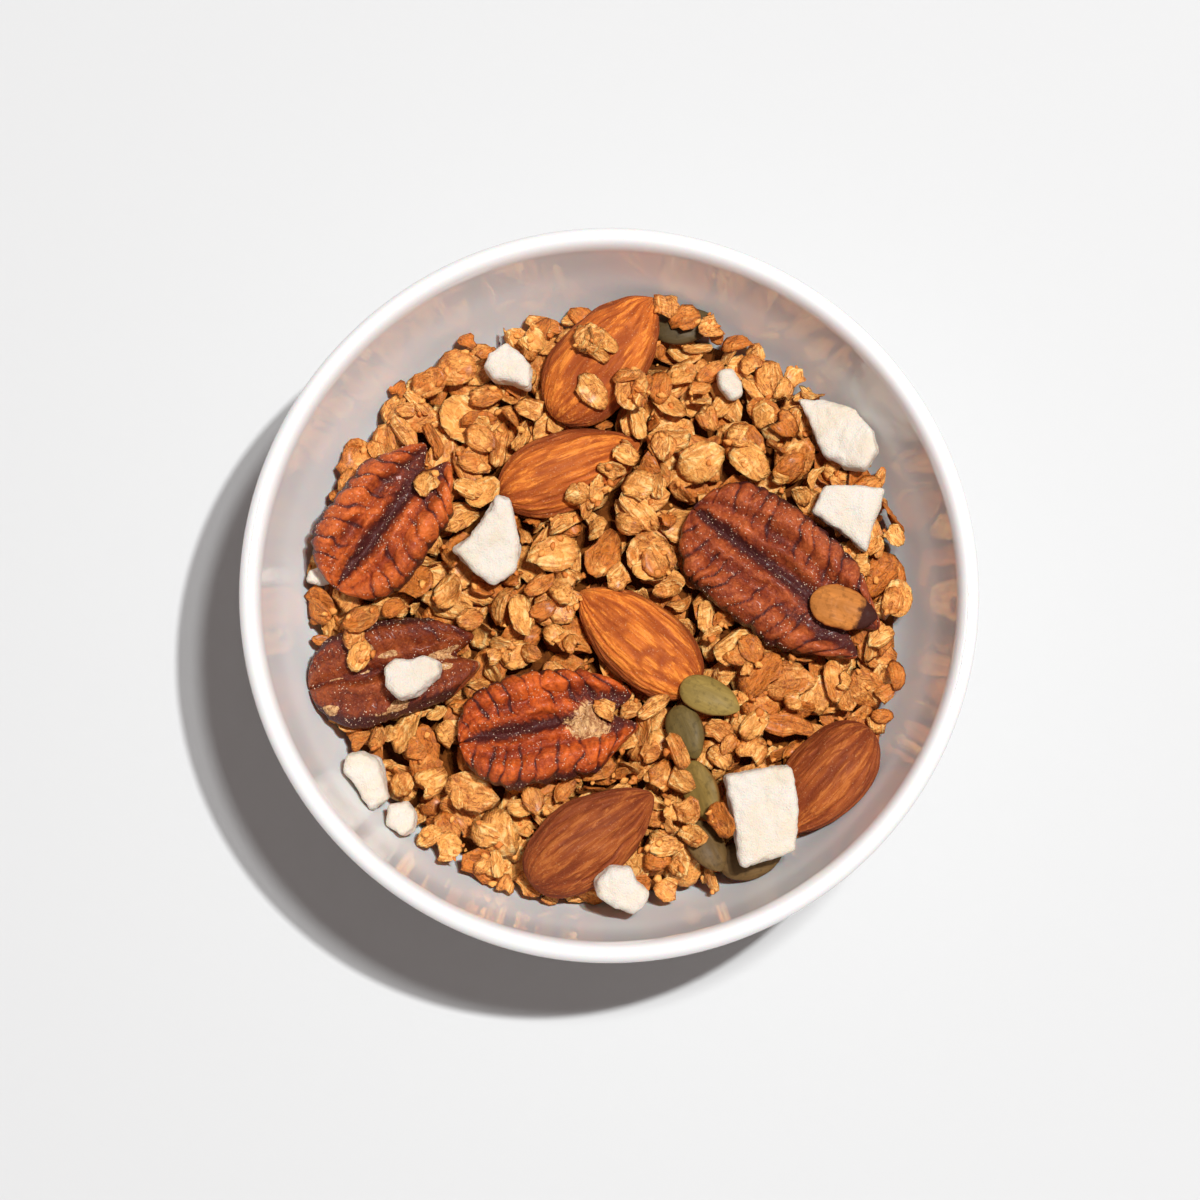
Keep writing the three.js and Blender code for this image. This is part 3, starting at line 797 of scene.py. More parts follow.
def bowl_profile(settings):
    """The bowl's cut outline from the middle of its floor, over the rim, to the middle of its underside."""
    lip, floor = settings.lip / MM, settings.floor / MM
    foot, width, recess = settings.foot / MM, settings.foot_width / MM, settings.recess / MM
    shoulder = BOWL_HEIGHT - lip / 2
    inside = wall(RIM_RADIUS - lip, shoulder - floor, shoulder, INSIDE_BEND, WALL_POINTS)[::-1]
    inside = inside[inside[:, 1] < BOWL_HEIGHT - RIM_DEPTH]
    inside[:, 0] -= wall_inset(inside[:, 1])
    crest, (radius, height) = RIM_RADIUS - lip / 2, inside[-1]
    turn = np.radians(np.linspace(RIM_START, 90, 14)[1:])
    deep = (BOWL_HEIGHT - height) / (1 - math.sin(math.radians(RIM_START)))
    inner_rim = np.stack([
        crest - (crest - radius) * np.cos(turn) / math.cos(math.radians(RIM_START)),
        BOWL_HEIGHT - deep + deep * np.sin(turn),
    ], 1)
    outer_rim = arc((crest, shoulder), lip / 2, 90, 0, 9)[1:-1]
    outside = wall(RIM_RADIUS, shoulder, shoulder, OUTSIDE_BEND, 2 * WALL_POINTS)
    corner, edge = FOOT_CORNER, FOOT_EDGE
    outside = outside[outside[:, 0] > foot + corner]
    joint = (foot + corner, outside[-1, 1] - corner * 0.9)
    ring = [
        arc(joint, corner, 90, 180, 5),
        arc((foot - edge, edge), edge, 0, -90, 5),
        arc((foot - width + edge, edge), edge, -90, -180, 5),
        arc((foot - width - edge, recess - edge), edge, 0, 90, 5),
    ]
    under = np.linspace(foot - width - edge, 0, 12)[1:]
    crown = 0.35 * (1 - (under / foot) ** 2)  # the underside is a little domed
    underside = np.stack([under, recess + crown - crown[0]], 1)
    return np.concatenate([inside, inner_rim, outer_rim, outside, *ring, underside])


def make_bowl(settings):
    """The bowl as one turned form."""
    profile = bowl_profile(settings)[::-1]
    angle = np.arange(BOWL_SEGMENTS) / BOWL_SEGMENTS * math.tau
    rings = [
        np.stack([r * np.cos(angle), r * np.sin(angle), np.full(BOWL_SEGMENTS, z)], 1)
        for r, z in profile[1:-1]
    ]
    points, faces = closed_rings(rings)
    points[0, 2], points[-1, 2] = profile[0, 1], profile[-1, 1]
    made = make_object("porcelain_bowl", points, faces, porcelain_finish(settings))
    return finish_piece(made, "porcelain", "bowl")


# ---- Nuts and seeds ----
def turned_form(shape, rings, around, forked):
    """A closed form turned round +X, where shape gives points for places u along it and angles.

    It ends in a point at +X, or where it is forked, in an edge between its upper and lower side.
    """
    u = -np.cos(np.linspace(0, math.pi, rings + 1))[1:-1]
    angle = np.arange(around) / around * math.tau
    along, round_it = (grid.ravel() for grid in np.meshgrid(u, angle, indexing="ij"))
    u = np.concatenate([[-1.0], along, [] if forked else [1.0]])
    angle = np.concatenate([[math.pi / 2], round_it, [] if forked else [math.pi / 2]])
    here = np.arange(around)
    after = (here + 1) % around
    faces = [(0, 1 + b, 1 + a) for a, b in zip(here, after)]
    last = 1 + (rings - 2) * around
    for low in range(1, last, around):
        faces += [(low + a, low + b, low + around + b, low + around + a) for a, b in zip(here, after)]
    if forked:
        ring = [last + k % around for k in range(-around // 2, around // 2 + 1)]
        middle = around // 2
        pairs = [(ring[middle + k], ring[middle + k + 1], ring[middle - k - 1], ring[middle - k])
                 for k in range(around // 2)]
        faces += [tuple(dict.fromkeys(pair)) for pair in pairs]
    else:
        faces += [(last + a, last + b, last + around) for a, b in zip(here, after)]
    return shape(u, angle), faces, (u, angle)


def outward(points, faces):
    """Normals of a closed form's points, from its faces."""
    triangles = triangulated(faces)
    a, b, c = (points[triangles[:, k]] for k in range(3))
    push = np.cross(b - a, c - a)
    total = np.zeros_like(points)
    for k in range(3):
        np.add.at(total, triangles[:, k], push)
    return total / np.maximum(np.linalg.norm(total, axis=1, keepdims=True), 1e-12)


def size_of(node):
    """Length, width and thickness of a solid along its own axes."""
    lie = lie_of(*corners_of(frame["nodes"][node].data))
    return lie[3] - lie[2]


def drop(size, u, angle, blunt=0.5):
    """A drop's points: blunt at the back, pointed at +X."""
    tip = np.maximum(0, u)
    half = (1 - u * u) ** (blunt + 0.22 * tip) * (1 - 0.16 * u)
    return np.stack([u * size[0], half * np.cos(angle) * size[1], half * np.sin(angle) * size[2]], 1) / 2


def make_nut(name, node, shape, relief, material, slot, fineness, uneven=None, forked=False):
    """A nut or seed where its solid lies. relief gives depths and the marks kept for its colour."""
    size = size_of(node)
    points, faces, (u, angle) = turned_form(
        lambda along, round_it: shape(size, along, round_it), *fineness, forked,
    )
    start = (uneven or shape)(size, u, angle)
    depth, marks = relief(points, u, angle)
    detailed = start + outward(start, faces) * depth[:, None]
    placed = lay_like(node, (points, triangulated(faces)), detailed)
    attributes = {"nut": points, "along": np.stack([u, np.cos(angle), np.sin(angle)], 1), **marks}
    made = make_object(name, placed, faces, material, attributes)
    return finish_piece(made, slot, node)


LIES_ON = {"pumpkin_seed_6": "half_pecan_4", "fruit_3": "half_pecan_2"}
REST_AIR = 0.12  # between such a piece and the nut


def let_down(piece, node):
    """Lets a piece whose solid lies on a nut down until it almost touches the finished nut."""
    below = bpy.data.objects.get(LIES_ON.get(node, ""))
    if below is None:
        return
    tree = BVHTree.FromPolygons(*(part.tolist() for part in corners_of(below.data)))
    points, _ = corners_of(piece.data)
    hits = [(point[2], tree.ray_cast(Vector(point), Vector((0, 0, -1)))[0]) for point in points]
    gap = min(z - hit.z for z, hit in hits if hit is not None)
    if gap > REST_AIR:
        points[:, 2] -= gap - REST_AIR
        move_points(piece.data, points)


ALMOND_MESH = (130, 230)  # rings along a nut and points round each
PECAN_MESH = (170, 300)
SEED_MESH = (56, 80)
ALMOND_DARK = (0.08, 0.10, 0.0, 0.70, 0.62)  # how dark each almond's skin is


def almond_relief(seed):
    """Low wavy ridges along an almond's skin, with finer ones between them."""
    def relief(points, u, angle):
        fade = (1 - u * u) ** 0.4
        grain = np.stack([points[:, 0], np.cos(angle) * 7, np.sin(angle) * 7], 1)
        grain[:, 1:] += 0.9 * np.stack([noise(points, 4.0, seed + 5), noise(points, 4.0, seed + 6)], 1)
        ridges = billow(grain, (13.0, 1.5, 1.5), seed)
        fine = billow(grain, (6.0, 0.75, 0.75), seed + 1)
        swell = noise(points, (6, 4, 4), seed + 2) + 0.35 * noise(points, (2.6, 1.8, 1.8), seed + 3)
        height = ridges * 0.6 + fine * 0.4
        depth = (height - 0.4) * 0.46 * fade + swell * 0.30 * fade
        # ridge also lightens the ridges and darkens the grooves in the skin's colour, as painted light
        return depth, {"ridge": np.clip(height * 1.4, 0, 1)}
    return relief


def make_almonds(settings):
    """Whole almonds with wrinkled skins."""
    for k, node in enumerate(nodes_named("almond_")):
        material = almond_finish(f"almond_skin_{k + 1}", settings, ALMOND_DARK[k % len(ALMOND_DARK)])
        make_nut(f"whole_{node}", node, drop, almond_relief(10 * k + 3), material, "almond", ALMOND_MESH)


PECAN_GROOVES = 10  # how often the grooves along the domed side repeat, round it
PECAN_RIM_AT = 0.7  # where across the inner side its rolled rim begins
PECAN_FOLD = 3.2  # length from one fold across a lobe to the next
PECAN_THICKER = 1.3  # the lobes' crest over the solid's thickness, before the form is fitted to it


def pecan_dome(u, side):
    """Height of a pecan half over its width with its domed outer side up, the same all along it."""
    rise = np.sqrt(np.maximum(0, 1 - side * side))
    grooves = 0.5 + 0.5 * np.cos(PECAN_GROOVES * np.arcsin(np.clip(side, -1, 1)))
    return rise * (1 - (0.2 + 0.26 * np.exp(-((side / 0.3) ** 2))) * grooves)


def pecan_hollow(u, side):
    """Height of a pecan half over its width with its inner side up: a rolled rim round a valley."""
    out = np.abs(side)
    rim = np.sqrt(1 - np.maximum(0, (out - PECAN_RIM_AT) / (1 - PECAN_RIM_AT)) ** 2)
    opened = smooth(u, -0.1, 0.7)
    valley = (0.4 + 0.12 * opened) * smooth(PECAN_RIM_AT - out, 0.02, 0.28)
    ridges = 0.22 * (1 - opened) * np.exp(-(((out - 0.25) / 0.11) ** 2))
    groove = 0.26 * (1 - 0.6 * opened) * np.exp(-((side / 0.12) ** 2))
    return rim * (1 - valley) + ridges - groove


def pecan_form(top, seed=None):
    """The outline of a pecan half, forked at +X, with the given upper side. A seed makes it uneven."""
    def shape(size, u, angle):
        out, side, rise = np.abs(u), np.cos(angle), np.sin(angle)
        taper = 1 - 0.1 * u
        wide = (1 - np.where(u > 0, 0.8, 1) * out ** 2.5) ** 0.5 * taper
        thick = (1 - out ** np.where(u > 0, 4, 2.5)) ** 0.5 * taper
        crest = top(u, side)
        if seed is not None:
            run = np.stack([u * size[0] / 2, np.sign(side) * 9, side * 5], 1)
            inside = 1 - side * side
            wander = 0.09 * noise(run * (1, 0, 0), 6.0, seed) + 0.05 * noise(run, (3.0, 9, 2.5), seed + 1)
            crest = top(u + 0.08 * noise(run, 7.0, seed + 2), np.clip(side + wander * inside, -1, 1))
            crest = crest * (1 + 0.10 * noise(run, (4.5, 6, 4), seed + 3))
            wide = (1 - np.where(u > 0, 0.64, 1) * out ** 3.2) ** 0.5 * taper
            wide = wide * (1 + 0.045 * noise(run, (4.2, 6, 20), seed + 4))
        lift = np.where(rise > 0, crest, rise * 0.55)
        fork = 0.28 * np.exp(-((side / 0.34) ** 2)) + (0.1 if seed is None else 0.3) * side ** 4
        dent = 0.06 * np.exp(-((side / 0.3) ** 2))
        back = fork * smooth(u, 0.3, 1) - dent * smooth(-u, 0.5, 1)
        height = thick * lift * size[2] * PECAN_THICKER
        return np.stack([(u - back) * size[0], wide * side * size[1], height], 1) / 2
    return shape


def pecan_relief(top, seed, patch):
    """The lumps and creases of a pecan's lobes and the marks of its hollows and torn spots."""
    def relief(points, u, angle):
        side, rise = np.cos(angle), np.sin(angle)
        fade = (1 - np.abs(u) ** 4) ** 0.5
        upper = smooth(rise, -0.35, 0.15)
        bent = points + 0.9 * np.stack([noise(points, 3.0, seed + k) for k in (11, 12, 13)], 1)
        bent[:, 0] += 0.35 * np.abs(bent[:, 1])  # the creases across the lobes lean towards the fork
        lumps = noise(bent, (4.2, 4.0, 4.0), seed + 1)
        small = billow(bent, (0.9, 2.6, 2.6), seed + 2)
        fine = noise(points, 0.55, seed + 4)
        on_rim = smooth(np.abs(side), 0.18, 0.45) * upper * (0.35 if top is pecan_dome else 1)
        wander = 0.6 * noise(bent * (1, 0.3, 0.3), 5.0, seed + 6)
        place = bent[:, 0] / PECAN_FOLD + 0.5 * np.sign(side) + wander
        part = 2 * np.abs(place - np.round(place))  # from 0 in the middle of a fold to 1 in a crease
        folds = 1 - part ** 2.2
        crown = top(u, side)
        uneven = 0.75 + 0.45 * noise(points, (5, 4, 4), seed + 5)
        push = 0.42 * lumps + 0.8 * (folds - 0.6) * uneven * on_rim + 0.2 * (small - 0.5) + 0.08 * fine
        push = push * fade
        hollow = smooth(crown, 0.30, 0.85) * upper + (1 - upper) * 0.7
        creases = smooth(part, 0.72, 1) * on_rim
        # lobe is high on the raised lobes and low in the valley and creases; the finish paints light and
        # shade from it
        lobe = np.clip(hollow * (0.55 + 0.22 * lumps + 0.3 * small - 0.6 * creases), 0, 1)
        blotch = noise(points, (4.2, 2.2, 2.2), seed + 3)
        torn = smooth(blotch, 0.40, 0.62) * upper * (1.0 if top is pecan_dome else 0.0)
        if patch:
            near = ((u - patch[0]) / patch[2]) ** 2 + ((side - patch[1]) / patch[3]) ** 2
            torn = np.maximum(torn, np.exp(-near) * upper + 0.2 * blotch * np.exp(-near / 2))
            push = push + 0.7 * np.exp(-near) * (0.7 + small)
        grains = (1 - lobe) * 0.5 + 0.15 + 0.6 * noise(points, 2.2, seed + 9)
        return push, {"ridge": lobe, "torn": torn, "sugar": np.clip(grains * upper, 0, 1)}
    return relief


PECANS = (  # the upper side, the shade, and where a torn patch lies along and across
    (pecan_hollow, (1.12, 1.08, 1.1), None),
    (pecan_dome, (0.56, 0.52, 0.66), None),
    (pecan_hollow, (1.18, 1.0, 0.8), (0.46, -0.10, 0.30, 0.42)),
    (pecan_hollow, (0.80, 0.78, 1.15), None),
)


def make_pecans(settings):
    """Pecan halves: three lie with their inner side up, and one on it."""
    for k, node in enumerate(nodes_named("pecan_")):
        top, shade, patch = PECANS[k % len(PECANS)]
        material = pecan_finish(f"pecan_skin_{k + 1}", settings, shade)
        made = make_nut(
            f"half_{node}", node, pecan_form(top), pecan_relief(top, 20 * k + 5, patch), material,
            "pecan", PECAN_MESH, pecan_form(top, 50 * k + 7), forked=True,
        )
        strew_sugar(made, settings, k)


GRAIN_SIZE = 0.09  # half the width of a usual sugar grain


def strew_sugar(nut, settings, seed):
    """Sugar grains on a nut, most of them in its hollows."""
    grain = make_object("grain", OCTAHEDRON[0] * (1, 1, 0.8), OCTAHEDRON[1], None, shaded_smooth=False)
    values = {"Grain": grain, "Density": settings.grains / MM ** 2, "Seed": seed, "Size": GRAIN_SIZE}
    made = run_tree(f"sugar_on_{nut.name}", nut, grain_tree("strew_sugar"), values, sugar_finish())
    bpy.data.objects.remove(grain)
    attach(made, BODY)


def seed_relief(seed, rough):
    """A seed's raised edge and its uneven faces; rough is for one in a crust of syrup."""
    def relief(points, u, angle):
        fade = (1 - u * u) ** 0.4
        edge = np.exp(-((np.sin(angle) / 0.35) ** 2)) * fade
        swell = noise(points, (3.2, 2.4, 2.4), seed)
        fine = noise(points, (1.6, 0.5, 0.5), seed + 1)
        crust = rough * (noise(points, 1.3, seed + 2) + 0.5 * noise(points, 0.7, seed + 3))
        return (0.16 * swell + 0.04 * fine + crust) * fade + 0.06 * edge, {"ridge": edge}
    return relief


SEEDS = (  # the skin's colour, and for one in a crust its roughness and the colour of its tip
    ((0.235, 0.155, 0.038), 0, None),
    ((0.120, 0.078, 0.022), 0, None),
    ((0.200, 0.125, 0.030), 0, None),
    ((0.110, 0.062, 0.020), 0, None),
    ((0.110, 0.060, 0.020), 0, None),
    ((0.430, 0.150, 0.030), 0.16, (0.045, 0.010, 0.006)),
    ((0.075, 0.048, 0.018), 0, None),
)


def make_seeds(settings):
    """Hulled pumpkin seeds, one of them browned in a crust of syrup, with a dark tip."""
    green = tuple(settings.seed_green)
    for k, node in enumerate(nodes_named("pumpkin_seed_")):
        shade, rough, tip = SEEDS[k % len(SEEDS)]
        shade = tuple(a * b / c for a, b, c in zip(shade, green, SEEDS[0][0]))
        material = seed_finish(f"seed_skin_{k + 1}", shade, rough, tip)
        made = make_nut(f"hulled_{node}", node, drop, seed_relief(30 + 3 * k, rough), material,
                        "pumpkin_seed", SEED_MESH)
        let_down(made, node)


# ---- Fruit ----
FRUIT_VOXEL = 0.30
FRUIT_SMOOTHING = 8
FRUIT_SWELL = 0.1  # gives back what the smoothing takes


def worn_copy(node, name):
    """A copy of a solid's mesh in small even faces, with its edges worn round."""
    mesh = frame["nodes"][node].data.copy()
    mesh.name = name
    copy = in_scene(name, mesh)
    weld = copy.modifiers.new("weld", "WELD")
    weld.merge_threshold = 1e-5
    voxels = copy.modifiers.new("voxels", "REMESH")
    voxels.mode = "VOXEL"
    voxels.voxel_size = FRUIT_VOXEL * MM
    soften = copy.modifiers.new("soften", "SMOOTH")
    soften.iterations = FRUIT_SMOOTHING
    soften.factor = 0.5
    bpy.context.view_layer.update()
    done = bpy.data.meshes.new_from_object(copy.evaluated_get(bpy.context.evaluated_depsgraph_get()))
    bpy.data.objects.remove(copy)
    return done


def make_fruit(settings):
    """Chalky pieces of freeze-dried fruit with worn edges."""
    material = fruit_finish(settings)
    for k, node in enumerate(nodes_named("fruit_")):
        mesh = worn_copy(node, f"chalky_{node}")
        points, _ = corners_of(mesh)
        normals = normals_of(mesh)
        lumps = noise(points, 3.8, k) * 0.38 + noise(points, 1.4, k + 20) * 0.15
        dents = np.minimum(0, noise(points, 2.1, k + 40) + 0.35) * 0.6
        grit = noise(points, 0.6, k + 60) * 0.11
        points += normals * (lumps + dents + grit + FRUIT_SWELL)[:, None]
        move_points(mesh, points)
        mesh.shade_smooth()
        mesh.materials.clear()
        mesh.materials.append(material)
        made = in_scene(f"chalky_{node}", mesh)
        let_down(made, node)
        finish_piece(made, "dried_fruit", node)


# ---- The oats ----
COLUMN = 0.4  # width of the square columns in which heights are kept
REACH = 56.0  # how far the columns reach from the bowl's axis
GRID = np.arange(-REACH, REACH + COLUMN / 2, COLUMN)
FAR = 100  # a height above everything
AIR = 0.25  # between a flake and a nut
WALL_AIR = 0.4  # between a flake and the bowl's wall
CORE_WALL_AIR = 1.0  # between the core and the bowl's wall
CORE_NUT_AIR = 1.0  # least depth of the core under a nut
HEAP_BLUR, CORE_BLUR = 2.4, 0.8  # over how much the heap's and the core's height are averaged
BED_EDGE = 51.5  # how far out the flakes reach at the wall
BED_REACH = 53.0  # how far out places for flakes are looked for
BY_WALL = 46.0  # how far out places by the wall begin
ON_NUT_SHARE = 0.3  # how much of a flake may lie on nuts


def inner_radius(height, settings):
    """Radius of the bowl's inner wall at a height."""
    lip, floor = settings.lip / MM, settings.floor / MM
    shoulder = BOWL_HEIGHT - lip / 2
    t = np.clip((shoulder - height) / (shoulder - floor), 0, 1)
    return (RIM_RADIUS - lip) * (1 - t ** INSIDE_BEND[1]) ** (1 / INSIDE_BEND[0]) - wall_inset(height)


def spans(piece, low, high):
    """Widens two height maps by the lowest and highest point of a piece in every column."""
    tree = BVHTree.FromPolygons(*(part.tolist() for part in corners_of(piece.data)))
    points, _ = corners_of(piece.data)
    (x0, y0), (x1, y1) = (np.searchsorted(GRID, edge) for edge in (points.min(0)[:2], points.max(0)[:2]))
    for i in range(x0, min(x1 + 1, len(GRID))):
        for j in range(y0, min(y1 + 1, len(GRID))):
            top = tree.ray_cast(Vector((GRID[i], GRID[j], FAR)), Vector((0, 0, -1)))[0]
            if top is None:
                continue
            bottom = tree.ray_cast(Vector((GRID[i], GRID[j], -FAR)), Vector((0, 0, 1)))[0]
            high[i, j] = max(high[i, j], top.z)
            low[i, j] = min(low[i, j], bottom.z)


def blurred(heights, weight, reach):
    """Heights averaged over a square of the given reach, where weight says which count."""
    size = int(round(reach / COLUMN))
    total, count = heights * weight, weight.astype(float)
    for axis in (0, 1):
        for _ in range(2):
            total, count = (
                sum(np.roll(grid, k, axis) for k in range(-size, size + 1)) for grid in (total, count)
            )
    return total / np.maximum(count, 1e-9)


class Bed:
    """What the granola lies on so far, column by column."""

    def __init__(self, bowl, depth):
        shape = (len(GRID), len(GRID))
        self.bowl = bowl
        self.low, self.high = np.full(shape, np.inf), np.full(shape, -np.inf)
        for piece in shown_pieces():
            if piece.name.startswith(("whole_", "half_", "hulled_", "chalky_")):
                spans(piece, self.low, self.high)
        nothing, heap = np.full(shape, np.inf), np.full(shape, -np.inf)
        spans(frame["nodes"]["granola_heap"], nothing, heap)
        there = heap > 0
        self.surface = blurred(np.where(there, heap, 0), there, HEAP_BLUR)
        core = np.minimum(self.surface - depth, self.low - CORE_NUT_AIR)
        self.core = blurred(core, np.ones(shape), CORE_BLUR)
        self.ground = self.core.copy()

    def columns(self, points):
        """The columns under points, kept inside the map."""
        last = len(GRID) - 1
        return tuple(
            np.clip(np.round((points[:, axis] + REACH) / COLUMN).astype(int), 0, last) for axis in (0, 1)
        )

    def lean(self, heights, spot, reach):
        """The slope of a height map round a spot, as a rise along X and along Y."""
        angle = np.arange(8) / 8 * math.tau
        ring = reach * np.stack([np.cos(angle), np.sin(angle)], 1)
        z = heights[self.columns(spot + ring)]
        return 2 * (z @ ring) / (8 * reach * reach)

    def settle(self, points, spot, share_on_nuts):
        """The height at which points come to rest at a spot, or None where they would not fit."""
        placed = points[:, :2] + spot
        at = self.columns(placed)
        rise = (self.ground[at] - points[:, 2]).max()
        z = points[:, 2] + rise
        nuts = self.high[at] > 0
        if np.any(nuts & (z > self.low[at] - AIR) & (z < self.high[at] + AIR)):
            if nuts.mean() > share_on_nuts:
                return None
            rise = (np.maximum(self.ground[at], self.high[at] + AIR) - points[:, 2]).max()
            z = points[:, 2] + rise
        out = np.hypot(placed[:, 0], placed[:, 1])
        if np.any(out > inner_radius(z, self.bowl) - WALL_AIR):
            return None
        return rise

    def top(self):
        """Heights of all that can be stood on."""
        return np.maximum(self.ground, self.high)

    def add(self, points, spot, rise):
        """Raises the ground to points that now lie there."""
        at = self.columns(points[:, :2] + spot)
        np.maximum.at(self.ground, at, points[:, 2] + rise)


FLAKE_RINGS = (0.52, 0.95, 1.0, 0.74, 0.38)  # from the underside over the edge to the top
FLAKE_SIDES = 12
FLAKE_WIDTH = {"whole": (0.62, 0.86), "broken": (0.6, 0.85), "curled": (0.5, 0.75), "groat": (0.38, 0.5)}
FLAKE_RAGGED = {"whole": 0.025, "broken": 0.06, "curled": 0.035, "groat": 0.03}
FLAKE_THICKNESS = {"whole": 0.068, "broken": 0.072, "curled": 0.062, "groat": 0.18}


def flake_mesh(random, kind):
    """One oat flake a unit long: an uneven oval, cupped and wavy, thin at its edge and often split."""
    angle = np.arange(FLAKE_SIDES) / FLAKE_SIDES * math.tau
    width, thick = random.uniform(*FLAKE_WIDTH[kind]), FLAKE_THICKNESS[kind]
    reach = 1 + FLAKE_RAGGED[kind] * random.normal(size=FLAKE_SIDES)
    x, y = np.cos(angle) * reach / 2, np.sin(angle) * reach * width / 2
    if kind == "broken":
        x = np.maximum(x, random.uniform(-0.3, -0.05) + 0.06 * random.normal(size=FLAKE_SIDES))
    for split in random.integers(0, FLAKE_SIDES, size=random.integers(0, 2)):
        x[split], y[split] = x[split] * 0.76, y[split] * 0.76
    bend = 2.0 if kind == "curled" else 1.0
    cup, fold = random.uniform(-0.08, 0.14), random.uniform(-0.18, 0.18) * bend
    twist, crease = random.uniform(-0.5, 0.5), random.uniform(0.0, 0.08)
    beats, phase = random.integers(2, 5), random.uniform(0, math.tau)
    wave = random.uniform(0.02, 0.055)

    def lift(px, py, share, round_it):
        middle = np.exp(-((py / (0.16 * width)) ** 2))
        ripple = wave * share * share * np.cos(beats * round_it + phase)
        dish = cup * 4 * (px * px + (py / width) ** 2)
        return dish + fold * 4 * px * px + twist * px * py - crease * middle + ripple

    halves = (-thick * 0.6, -thick * 0.28, thick * 0.12, thick * 0.45, thick * 0.55)
    rings = []
    for share, half in zip(FLAKE_RINGS, halves):
        px, py = x * share, y * share
        uneven = random.normal(size=FLAKE_SIDES) * 0.012
        rings.append(np.stack([px, py, lift(px, py, share, angle) + half + uneven], 1))
    points, faces = closed_rings(rings)
    shares = np.concatenate([[0], *([share] * FLAKE_SIDES for share in FLAKE_RINGS), [0]])
    round_it = np.concatenate([[0], *([angle] * len(FLAKE_RINGS)), [0]])
    side = np.repeat([-1.0, 1.0], [1 + 2 * FLAKE_SIDES, 1 + 3 * FLAKE_SIDES])
    flat = np.stack([shares * np.cos(round_it), shares * np.sin(round_it), side], 1)
    return points - points.mean(0), faces, flat


FLAKE_KINDS = ["whole"] * 11 + ["broken"] * 7 + ["curled"] * 5 + ["groat"] * 3


def samples_of(points, faces):
    """Points close together over a flake, for letting it down onto the bed."""
    found = [points]
    for face in triangulated(faces):
        a, b, c = points[face]
        found.append(np.array([(a + b + c) / 3, (a + b) / 2, (b + c) / 2]))
    return np.concatenate(found)


class Layer:
    """The flakes laid so far, as the points, turns and sizes that the node group reads."""

    def __init__(self, samples):
        self.samples = samples
        self.rows = []

    def add(self, shape, place, turn, size, tint):
        """Notes one flake."""
        self.rows.append((shape, place, Matrix(turn.tolist()).to_euler(), size, tint))

    def points(self, name, rows):
        """A mesh of one point for each of some flakes, with what each needs."""
        made = make_object(name, np.array([row[1] for row in rows]), [], None)
        mesh = made.data
        shape = mesh.attributes.new("shape", "INT", "POINT")
        shape.data.foreach_set("value", [row[0] for row in rows])
        for key, place in (("turn", 2), ("stretch", 3)):
            vectors = np.array([list(row[place]) for row in rows], np.float32)
            mesh.attributes.new(key, "FLOAT_VECTOR", "POINT").data.foreach_set("vector", vectors.ravel())
        tint = mesh.attributes.new("tint", "FLOAT", "POINT")
        tint.data.foreach_set("value", [row[4] for row in rows])
        return made


def upright(slope, limit=0.8):
    """The turn that lays a flat thing on a slope, no steeper than a limit."""
    steep = np.linalg.norm(slope)
    if steep > limit:
        slope = slope * (limit / steep)
    up = np.array([-slope[0], -slope[1], 1.0])
    return np.array(Vector((0, 0, 1)).rotation_difference(Vector(up / np.linalg.norm(up))).to_matrix())


def spot_in_bowl(random, reach):
    """A random spot in a disc."""
    angle, out = random.uniform(0, math.tau), reach * math.sqrt(random.random())
    return out * np.array([math.cos(angle), math.sin(angle)])


def single(random, base, pick):
    """One flake, as shape, turn, place and size."""
    size = base * np.array([1, random.uniform(0.88, 1.12), random.uniform(0.85, 1.2)])
    return [(pick(), np.eye(3), np.zeros(3), size)]


def stack(random, base, pick):
    """Flakes that stick together flat, as shapes, turns, places and sizes."""
    parts, shift, lift = [], np.zeros(2), 0.0
    for _ in range(random.integers(3, 7)):
        size = base * random.uniform(0.75, 1.1) * np.array([1, random.uniform(0.8, 1.05), 0.9])
        own = turned(random.normal() * 0.5, "Z") @ turned(random.normal() * 0.15, "X")
        parts.append((pick(), own, np.array([*shift, lift]), size))
        lift += size[2] * random.uniform(0.12, 0.18)
        shift = shift + random.normal(size=2) * base * 0.11
    return parts


def clump(random, base, pick):
    """Flakes that stick together round a lump, as shapes, turns, places and sizes."""
    parts = []
    for k in range(random.integers(4, 9)):
        lean = math.radians(random.uniform(0, 25) if k == 0 else random.uniform(25, 80))
        facing = turned(random.uniform(0, math.tau), "Z") @ turned(lean, "X")
        out = facing @ np.array([0, 0, base * random.uniform(0.26, 0.42)])
        own = facing @ turned(random.normal() * 0.25, "X") @ turned(random.uniform(0, math.tau), "Z")
        size = base * random.uniform(0.6, 0.95) * np.array([1, random.uniform(0.85, 1.15), 1.2])
        parts.append((pick(), own, out * np.array([1.15, 1.15, 0.75]), size))
    return parts


# What is laid, in order: how it is built, its share of the number set, its length as a share of the
# longest flake, its least and greatest tilt in degrees, the places tried for each, how far it may
# stand above the heap's surface, and whether it is laid at the wall.
JOBS = (
    (single, 0.34, (0.72, 1.0), (0, 42), 10, 2.8, False),
    (single, 0.26, (0.42, 0.74), (0, 60), 24, 2.8, False),
    (stack, 1.0, (0.62, 0.92), (48, 88), 7, 3.4, False),
    (clump, 1.0, (0.70, 0.96), (0, 25), 9, 3.4, False),
    (single, 0.17, (0.5, 0.85), (0, 60), 16, 2.8, True),
    (single, 0.22, (0.40, 0.66), (0, 60), 28, 2.8, False),
    (single, 0.20, (0.74, 1.0), (0, 42), 6, 2.4, False),
)
